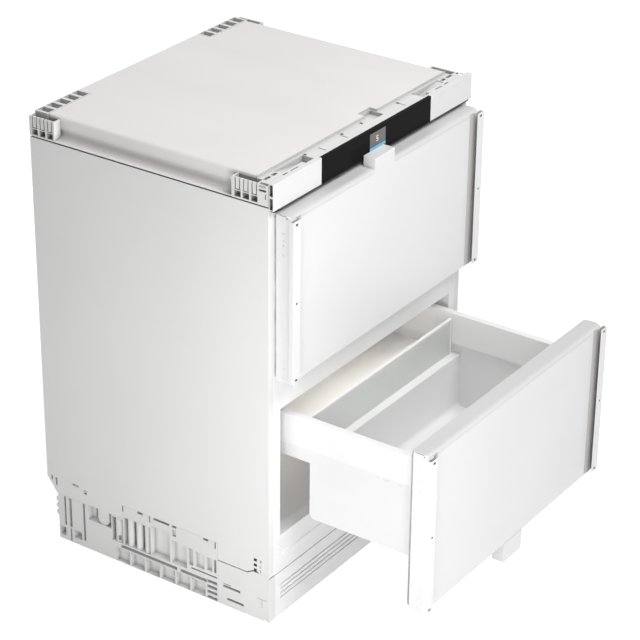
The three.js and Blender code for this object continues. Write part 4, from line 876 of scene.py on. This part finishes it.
# millimetres in from the panel's edge, and down from its outer face
BACK_LOOPS = ((0, 1.2), (0, 1.0), (20, 1.0), (24, 0.0), (58, 0.0), (61, 0.8), (67, 0.8), (70, 0.0))
BACK_CORNER = 2
BACK_EASE = 0.25  # the corners' radius grows by this much of the inset
BACK_SCREW_INSET = 10 * MM
BACK_SCREW_COUNT = 5
BACK_SCREW_SINK = 1.02 * MM
BACK_SCREW_RADIUS = 1.5 * MM
LABEL_INSET = 150 * MM
LABEL_SIZE = (90 * MM, 56 * MM)
LABEL_LINES = 9
LABEL_FRONT = 0.05 * MM  # behind the panel's outer face
LABEL_BACK = 0.3 * MM
BAR_BACK = 0.1 * MM
BAR_MARGIN = 4 * MM
BAR_SHARE = 0.16  # of the lines' pitch, up and down


def evenly(low, high, inset, count):
    """Evenly spaced places between two ends, the first and last one an inset in."""
    return [low + inset + (high - low - 2 * inset) * i / (count - 1) for i in range(count)]


def add_back_panel():
    low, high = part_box("back_panel")
    loops = []
    for inset, depth in BACK_LOOPS:
        radius = (BACK_CORNER + inset * BACK_EASE) * MM
        ring = rounded_rectangle((low.x, high.x), (low.z, high.z), inset * MM, radius)
        loops.append([(x, high.y - depth * MM, z) for x, z in ring])
    piece = lofted("back_panel_sheet", loops, "side_paint", "cabinet", smooth_angle=20)
    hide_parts("back_panel")
    across = evenly(low.x, high.x, BACK_SCREW_INSET, BACK_SCREW_COUNT)
    up = evenly(low.z, high.z, BACK_SCREW_INSET, BACK_SCREW_COUNT)
    centres = {(x, z) for x in across for z in up if x in (across[0], across[-1]) or z in (up[0], up[-1])}
    places = [(x, high.y - BACK_SCREW_SINK, z) for x, z in sorted(centres)]
    screws("back_panel_screws", places, (0, 1, 0), BACK_SCREW_RADIUS, "bright_steel", "cabinet")
    add_label("rating_plate", (high.x - LABEL_INSET, high.z - LABEL_INSET), LABEL_SIZE, high.y, LABEL_LINES)


def add_label(name, corner, size, face, lines):
    """A plain label with bars in place of its small print."""
    x, z = corner
    width, height = size
    blocks(name, [((x, face - LABEL_BACK, z), (x + width, face - LABEL_FRONT, z + height))],
           "label", "cabinet", 0)
    pitch = height / (lines + 1)
    end = x + width - BAR_MARGIN
    spans = []
    for i in range(lines):
        length = width * (0.5 + 0.38 * math.sin(i * 2.4) ** 2)  # uneven, as lines of print are
        row = z + height - (i + 1) * pitch
        spans.append(((end - length, face - BAR_BACK, row - pitch * BAR_SHARE),
                      (end, face, row + pitch * BAR_SHARE)))
    blocks(name + "_bars", spans, "label_ink", "cabinet", 0)


# ---- machine space

MACHINE_WALL = 191.9 * MM  # the foam's face in front of the machine space
# millimetres in from the plate's edge, and its rise
PLATE_LOOPS = ((0, 0), (0, 0.8), (18, 0.8), (21, 2.2), (26, 2.2), (29, 0.8))
PLATE_CORNER = 2
PLATE_EASE = 0.3
PLATE_MARGIN = 2 * MM


def add_plate(name, x, span, place):
    """A pressed steel plate; `place` turns a point of its outline and a rise into a point."""
    loops = []
    for inset, rise in PLATE_LOOPS:
        ring = rounded_rectangle(x, span, inset * MM, (PLATE_CORNER + inset * PLATE_EASE) * MM)
        loops.append([place(u, v, rise * MM) for u, v in ring])
    lofted(name, loops, "zinc_steel", "cabinet", smooth_angle=20)


def add_machine_plates():
    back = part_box("back_panel")[0]
    low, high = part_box("insulation_foam")
    x = (low.x + PLATE_MARGIN, high.x - PLATE_MARGIN)
    add_plate("machine_wall", x, (low.z, back.z), lambda u, v, rise: (u, MACHINE_WALL + rise, v))
    add_plate("machine_ceiling", x, (MACHINE_WALL + PLATE_MARGIN, back.y - MM),
              lambda u, v, rise: (u, v, back.z - rise))


# shares of the shell's radius and height
SHELL_PROFILE = ((0.62, 0.0), (0.86, 0.01), (0.93, 0.04), (0.985, 0.12), (1.0, 0.3), (1.0, 0.56),
                 (1.045, 0.565), (1.045, 0.59), (0.99, 0.595), (0.965, 0.7), (0.90, 0.82), (0.78, 0.91),
                 (0.55, 0.975), (0.25, 0.998), (0.02, 1.0))
SHELL_SHARE = 0.955  # the weld flange fills the rest of the radius
SHELL_GAP = 0.3 * MM  # under the drip tray
PLATFORM_RISE = 18 * MM
PLATFORM_WALL = 4 * MM
PLATFORM_MARGIN = 2 * MM
BOLT_INSET = (14 * MM, 16 * MM)
BOLT_RADIUS = 5 * MM
# millimetres of radius and height
GROMMET_PROFILE = ((9, 0), (12, 0.4), (12, 4), (9.5, 5), (9.5, 8), (12, 9), (12, 13.6), (7, 14))
COVER_RISE = 50 * MM  # the terminal cover over the platform
COVER_SIZE = (15 * MM, 23 * MM, 58 * MM)  # out from the shell, half its width, and its height
COVER_LAP = 12 * MM
LID_SIZE = (16 * MM, 17 * MM)  # out from the shell, and half its width
LID_SPAN = (8 * MM, 50 * MM)
LID_BACK = 13 * MM


def add_compressor():
    low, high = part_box("compressor")
    tray_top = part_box("drip_tray")[0].z
    radius = (high.y - low.y) / 2
    axis = Vector(((low.x + high.x) / 2, (low.y + high.y) / 2, 0))
    plate_top = low.z + PLATFORM_RISE
    height = tray_top - SHELL_GAP - plate_top
    profile = [(share * radius * SHELL_SHARE, plate_top + rise * height) for share, rise in SHELL_PROFILE]
    shell = turned("compressor_shell", profile, [axis], "black_steel", 64, smooth_angle=40)
    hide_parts("compressor")
    blocks("compressor_platform", [((low.x, low.y + PLATFORM_MARGIN, plate_top - PLATFORM_WALL),
                                    (high.x, high.y - PLATFORM_MARGIN, plate_top))],
           "black_steel", "cabinet", 1.2 * MM)
    feet = [(x, y) for x in (low.x + BOLT_INSET[0], high.x - BOLT_INSET[0])
            for y in (low.y + BOLT_INSET[1], high.y - BOLT_INSET[1])]
    profile = [(r * MM, low.z + h * MM) for r, h in GROMMET_PROFILE]
    grommets = turned("compressor_grommets", profile, [(x, y, 0) for x, y in feet], "foot_rubber", 28)
    screws("compressor_bolts", [(x, y, plate_top) for x, y in feet], (0, 0, 1), BOLT_RADIUS,
           "bright_steel", "cabinet")
    add_terminal_cover(axis.x - radius, axis.y, plate_top + COVER_RISE)
    return axis, radius, plate_top


def add_terminal_cover(side, y, base):
    out, half, height = COVER_SIZE
    blocks("terminal_cover", [
        ((side - out, y - half, base), (side + COVER_LAP, y + half, base + height)),
        ((side - LID_SIZE[0], y - LID_SIZE[1], base + LID_SPAN[0]),
         (side - LID_BACK, y + LID_SIZE[1], base + LID_SPAN[1])),
    ], "dark_plastic", "cabinet", 2 * MM)


# ---- pipes

PIPE_GAP = 14 * MM  # from the condenser to the pipes beside it, and on to the drier
PORT_REACH = 0.93  # how far out the ports lie, as a share of the shell's radius
PIPE_RADIUS = 2.6 * MM
DISCHARGE_PORT = (-0.72, 0.66, 0)
DISCHARGE_RISE = 112 * MM
DISCHARGE_OUT = (24 * MM, 6 * MM)  # beside the gap, at the port and at the condenser
DISCHARGE_SETBACK = 12 * MM
DISCHARGE_DROP = 14 * MM
DISCHARGE_LAP = 4 * MM
BEND_ROWS = 6
BEND_FIRST = 16 * MM
BEND_PITCH = 24 * MM
BEND_REACH = 11 * MM
BEND_LAP = 3 * MM
BEND_RADIUS = 10 * MM
BEND_FRONT = 10 * MM  # the left bends' row, before the middle of the condenser
BEND_REAR = 6 * MM  # the right bends' row, behind it
# millimetres of radius and height
DRIER_PROFILE = ((2.2, 0), (2.6, 8), (8.5, 16), (8.5, 74), (2.6, 84), (1.6, 92))
DRIER_RISE = 36 * MM
DRIER_GAP = 26 * MM  # before the fan shroud
LIQUID_RADIUS = 2.4 * MM
LIQUID_DROP = 6 * MM
LIQUID_SETBACK = 8 * MM
LIQUID_LAP = 4 * MM
CAPILLARY_RADIUS = 1.1 * MM
CAPILLARY_RISES = (90 * MM, 118 * MM, 130 * MM)
CAPILLARY_SHIFT = 7 * MM
ENTRY_PLACE = (22 * MM, 24 * MM)  # into the foam: beside the drier, and behind the wall
ENTRY_SHIFT = 3 * MM
ENTRY_RING = ((9, 4), (9, 0.6), (7, 0.2))  # millimetres of radius, and under the ceiling
SUCTION_PORT = (-0.77, -0.64, 0)
SUCTION_RISE = 96 * MM
SUCTION_RADIUS = 3.6 * MM
SUCTION_SETBACK = 18 * MM
SUCTION_CLIMB = 8 * MM


def add_discharge_line(axis, radius, plate_top, gap):
    """From the compressor to the condenser's upper end."""
    low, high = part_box("condenser")
    middle = (low.y + high.y) / 2
    back = middle + DISCHARGE_SETBACK
    top = high.z - DISCHARGE_DROP
    port = axis + Vector(DISCHARGE_PORT) * radius * PORT_REACH
    level = plate_top + DISCHARGE_RISE
    far, near = (gap + out for out in DISCHARGE_OUT)
    tube("discharge_line", [(port.x, port.y, level), (far, back, level), (near, back, level),
                            (near, middle, top), (high.x - DISCHARGE_LAP, middle, top)], PIPE_RADIUS)


def add_condenser_bends():
    low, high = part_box("condenser")
    middle = (low.y + high.y) / 2
    sides = ((high.x, 1, middle + BEND_REAR), (low.x, -1, middle - BEND_FRONT))
    rows = [low.z + BEND_FIRST + i * BEND_PITCH for i in range(BEND_ROWS)]
    for i, (first, second) in enumerate(zip(rows, rows[1:])):
        edge, sign, y = sides[i % 2]
        inner, outer = edge - sign * BEND_LAP, edge + sign * BEND_REACH
        points = [(inner, y, first), (outer, y, first), (outer, y, second), (inner, y, second)]
        tube(f"condenser_bend_{i + 1}", points, PIPE_RADIUS, bend=BEND_RADIUS)


def add_drier(drier, entry, ceiling):
    """The filter drier, with the liquid line into it and the capillary out of it."""
    low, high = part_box("condenser")
    x, y = drier
    base = low.z + DRIER_RISE
    profile = [(r * MM, base + h * MM) for r, h in DRIER_PROFILE]
    turned("filter_drier", profile, [(x, y, 0)], "copper", 32)
    back = (low.y + high.y) / 2 - LIQUID_SETBACK
    level = low.z + BEND_FIRST - LIQUID_DROP
    tube("liquid_line", [(high.x - BEND_LAP, back, level), (x, back, level), (x, y, level),
                         (x, y, base + LIQUID_LAP)], LIQUID_RADIUS)
    start, turn, climb = (base + rise for rise in CAPILLARY_RISES)
    end = entry[0] - CAPILLARY_SHIFT
    tube("capillary", [(x, y, start), (x, y, turn), (end, entry[1], climb), (end, entry[1], ceiling)],
         CAPILLARY_RADIUS)


def add_suction_line(axis, radius, plate_top, entry, ceiling):
    """From the foam to the compressor, with the grommet where the pipes leave the foam."""
    port = axis + Vector(SUCTION_PORT) * radius * PORT_REACH
    level = plate_top + SUCTION_RISE
    tube("suction_line", [(port.x, port.y, level), (entry[0], port.y - SUCTION_SETBACK, level),
                          (*entry, level + SUCTION_CLIMB), (*entry, ceiling)], SUCTION_RADIUS)
    profile = [(r * MM, ceiling - drop * MM) for r, drop in ENTRY_RING]
    turned("pipe_grommet", profile, [(entry[0] - ENTRY_SHIFT, entry[1], 0)], "foot_rubber", 28)


def add_pipes(axis, radius, plate_top):
    """The copper lines of the machine space, and the inner mains lead."""
    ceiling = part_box("back_panel")[0].z
    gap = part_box("condenser")[1].x + PIPE_GAP
    drier = (gap + PIPE_GAP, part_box("fan_shroud")[0].y - DRIER_GAP)
    entry = (drier[0] + ENTRY_PLACE[0], MACHINE_WALL + ENTRY_PLACE[1])
    add_discharge_line(axis, radius, plate_top, gap)
    add_condenser_bends()
    add_drier(drier, entry, ceiling)
    add_suction_line(axis, radius, plate_top, entry, ceiling)
    terminals = (axis.x - radius - LEAD_OUT, axis.y, plate_top + LEAD_RISE)
    add_inner_lead(terminals, gap + LEAD_SHIFT)


LEAD_RADIUS = 3 * MM
LEAD_OUT = 14 * MM
LEAD_RISE = 66 * MM
LEAD_SHIFT = 4 * MM
LEAD_SETBACK = 3 * MM
LEAD_LAP = 1 * MM
LEAD_RUN = (26 * MM, 40 * MM)  # out of the inlet, before and after the lead turns down
LEAD_HEIGHTS = (6 * MM, 8 * MM)  # over the base tray's underside
PIN_PLACES = ((-3.6, -1), (0, 1.6), (3.6, -1))  # millimetres across and up from the inlet's middle
PIN_HALF = (0.9 * MM, 1.6 * MM)
PIN_SPAN = (15 * MM, 3 * MM)  # behind the inlet's face


def add_inner_lead(terminals, x):
    low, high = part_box("mains_inlet")
    y = (low.y + high.y) / 2 - LEAD_SETBACK
    z = (low.z + high.z) / 2
    first, second = (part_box("base_tray")[0].z + height for height in LEAD_HEIGHTS)
    tube("inner_lead", [(high.x - LEAD_LAP, y, z), (high.x + LEAD_RUN[0], y, z),
                        (high.x + LEAD_RUN[1], y, first), (x, y, first), (x, terminals[1], second),
                        (x, terminals[1], terminals[2]), terminals], LEAD_RADIUS, "dark_plastic")


def add_inlet_pins():
    low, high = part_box("mains_inlet")
    half_x, half_z = PIN_HALF
    spans = []
    for across, up in PIN_PLACES:
        x = (low.x + high.x) / 2 + across * MM
        z = (low.z + high.z) / 2 + up * MM
        spans.append(((x - half_x, high.y - PIN_SPAN[0], z - half_z),
                      (x + half_x, high.y - PIN_SPAN[1], z + half_z)))
    blocks("inlet_pins", spans, "bright_steel", "cabinet", 0.3 * MM)


# ---- studio

AMBIENT = 0.26
FLOOR_HALF = 12  # metres
FLOOR_GREY = 0.6
FLOOR_LIFT = 0.78  # brings the floor to white where the object's shadow doesn't fall


def add_world():
    scene = bpy.context.scene
    scene.view_settings.view_transform = "Standard"
    world = bpy.data.worlds.new("studio")
    scene.world = world
    world.use_nodes = True
    tree = world.node_tree
    ambient = set_inputs(tree.nodes["Background"], {"Color": (1, 1, 1, 1), "Strength": AMBIENT})
    plain = add_node(tree, "Background", {"Color": (1, 1, 1, 1)})
    mix = add_node(tree, "MixShader")
    tree.links.new(seen_directly(tree), mix.inputs["Fac"])
    tree.links.new(ambient.outputs["Background"], mix.inputs[1])
    tree.links.new(plain.outputs["Background"], mix.inputs[2])
    tree.links.new(mix.outputs["Shader"], tree.nodes["World Output"].inputs["Surface"])


def seen_directly(tree):
    """1 for rays from the camera, also by way of metal or glass, and 0 for the light between surfaces."""
    path = add_node(tree, "LightPath")
    either = path.outputs["Is Camera Ray"]
    for kind in ("Is Glossy Ray", "Is Transmission Ray"):
        larger = add_node(tree, "Math")
        larger.operation = "MAXIMUM"
        tree.links.new(either, larger.inputs[0])
        tree.links.new(path.outputs[kind], larger.inputs[1])
        either = larger.outputs["Value"]
    return either


def add_floor():
    mesh = bpy.data.meshes.new("floor")
    corners = [(x * FLOOR_HALF, y * FLOOR_HALF, 0) for x, y in ((-1, -1), (1, -1), (1, 1), (-1, 1))]
    mesh.from_pydata(corners, [], [(0, 1, 2, 3)])
    floor = bpy.data.objects.new("floor", mesh)
    bpy.context.scene.collection.objects.link(floor)
    material = bpy.data.materials.new("floor")
    material.use_nodes = True
    tree = material.node_tree
    paint = tree.nodes["Principled BSDF"]
    grey = (FLOOR_GREY, FLOOR_GREY, FLOOR_GREY, 1)
    set_inputs(paint, {"Base Color": grey, "Roughness": 0.9, "Emission Color": (1, 1, 1, 1)})
    lift = add_node(tree, "Math")
    lift.operation = "MULTIPLY"
    lift.inputs[1].default_value = FLOOR_LIFT
    tree.links.new(seen_directly(tree), lift.inputs[0])
    tree.links.new(lift.outputs["Value"], paint.inputs["Emission Strength"])
    mesh.materials.append(material)


def add_light(name, place, target, size, watts):
    data = bpy.data.lights.new(name, "AREA")
    data.shape = "SQUARE"
    data.size = size
    data.energy = watts
    light = bpy.data.objects.new(name, data)
    light.location = place
    light.rotation_euler = (Vector(target) - Vector(place)).to_track_quat("-Z", "Y").to_euler()
    bpy.context.scene.collection.objects.link(light)


def add_lights():
    add_light("near_left", (-1.1, -0.65, 0.5), (-0.1, -0.1, 0.45), size=0.8, watts=8.5)
    add_light("low_front", (-0.5, -2.2, 0.35), (0, 0, 0.3), size=1.0, watts=7)
    add_light("behind", (0.2, 2.7, 1.5), (0, 0.3, 0.6), size=1.2, watts=13)
    add_light("lower_cavity", (-0.1, 0.16, 0.39), (-0.1, 0.1, 0.15), size=0.15, watts=0.2)
    add_light("over_front", (0, -1.6, 3.4), (-0.1, -0.1, 0.5), size=2.0, watts=87)


add_camera()
dress_nodes()
add_display()
add_gaskets()
for drawer in ("upper", "lower"):
    add_drawer_details(drawer)
add_bracket_face()
add_divider_trim()
add_pocket_floors()
add_frame_shade()
add_cover_joint()
add_louvres()
add_back_panel()
add_machine_plates()
add_pipes(*add_compressor())
add_inlet_pins()
add_world()
add_floor()
add_lights()
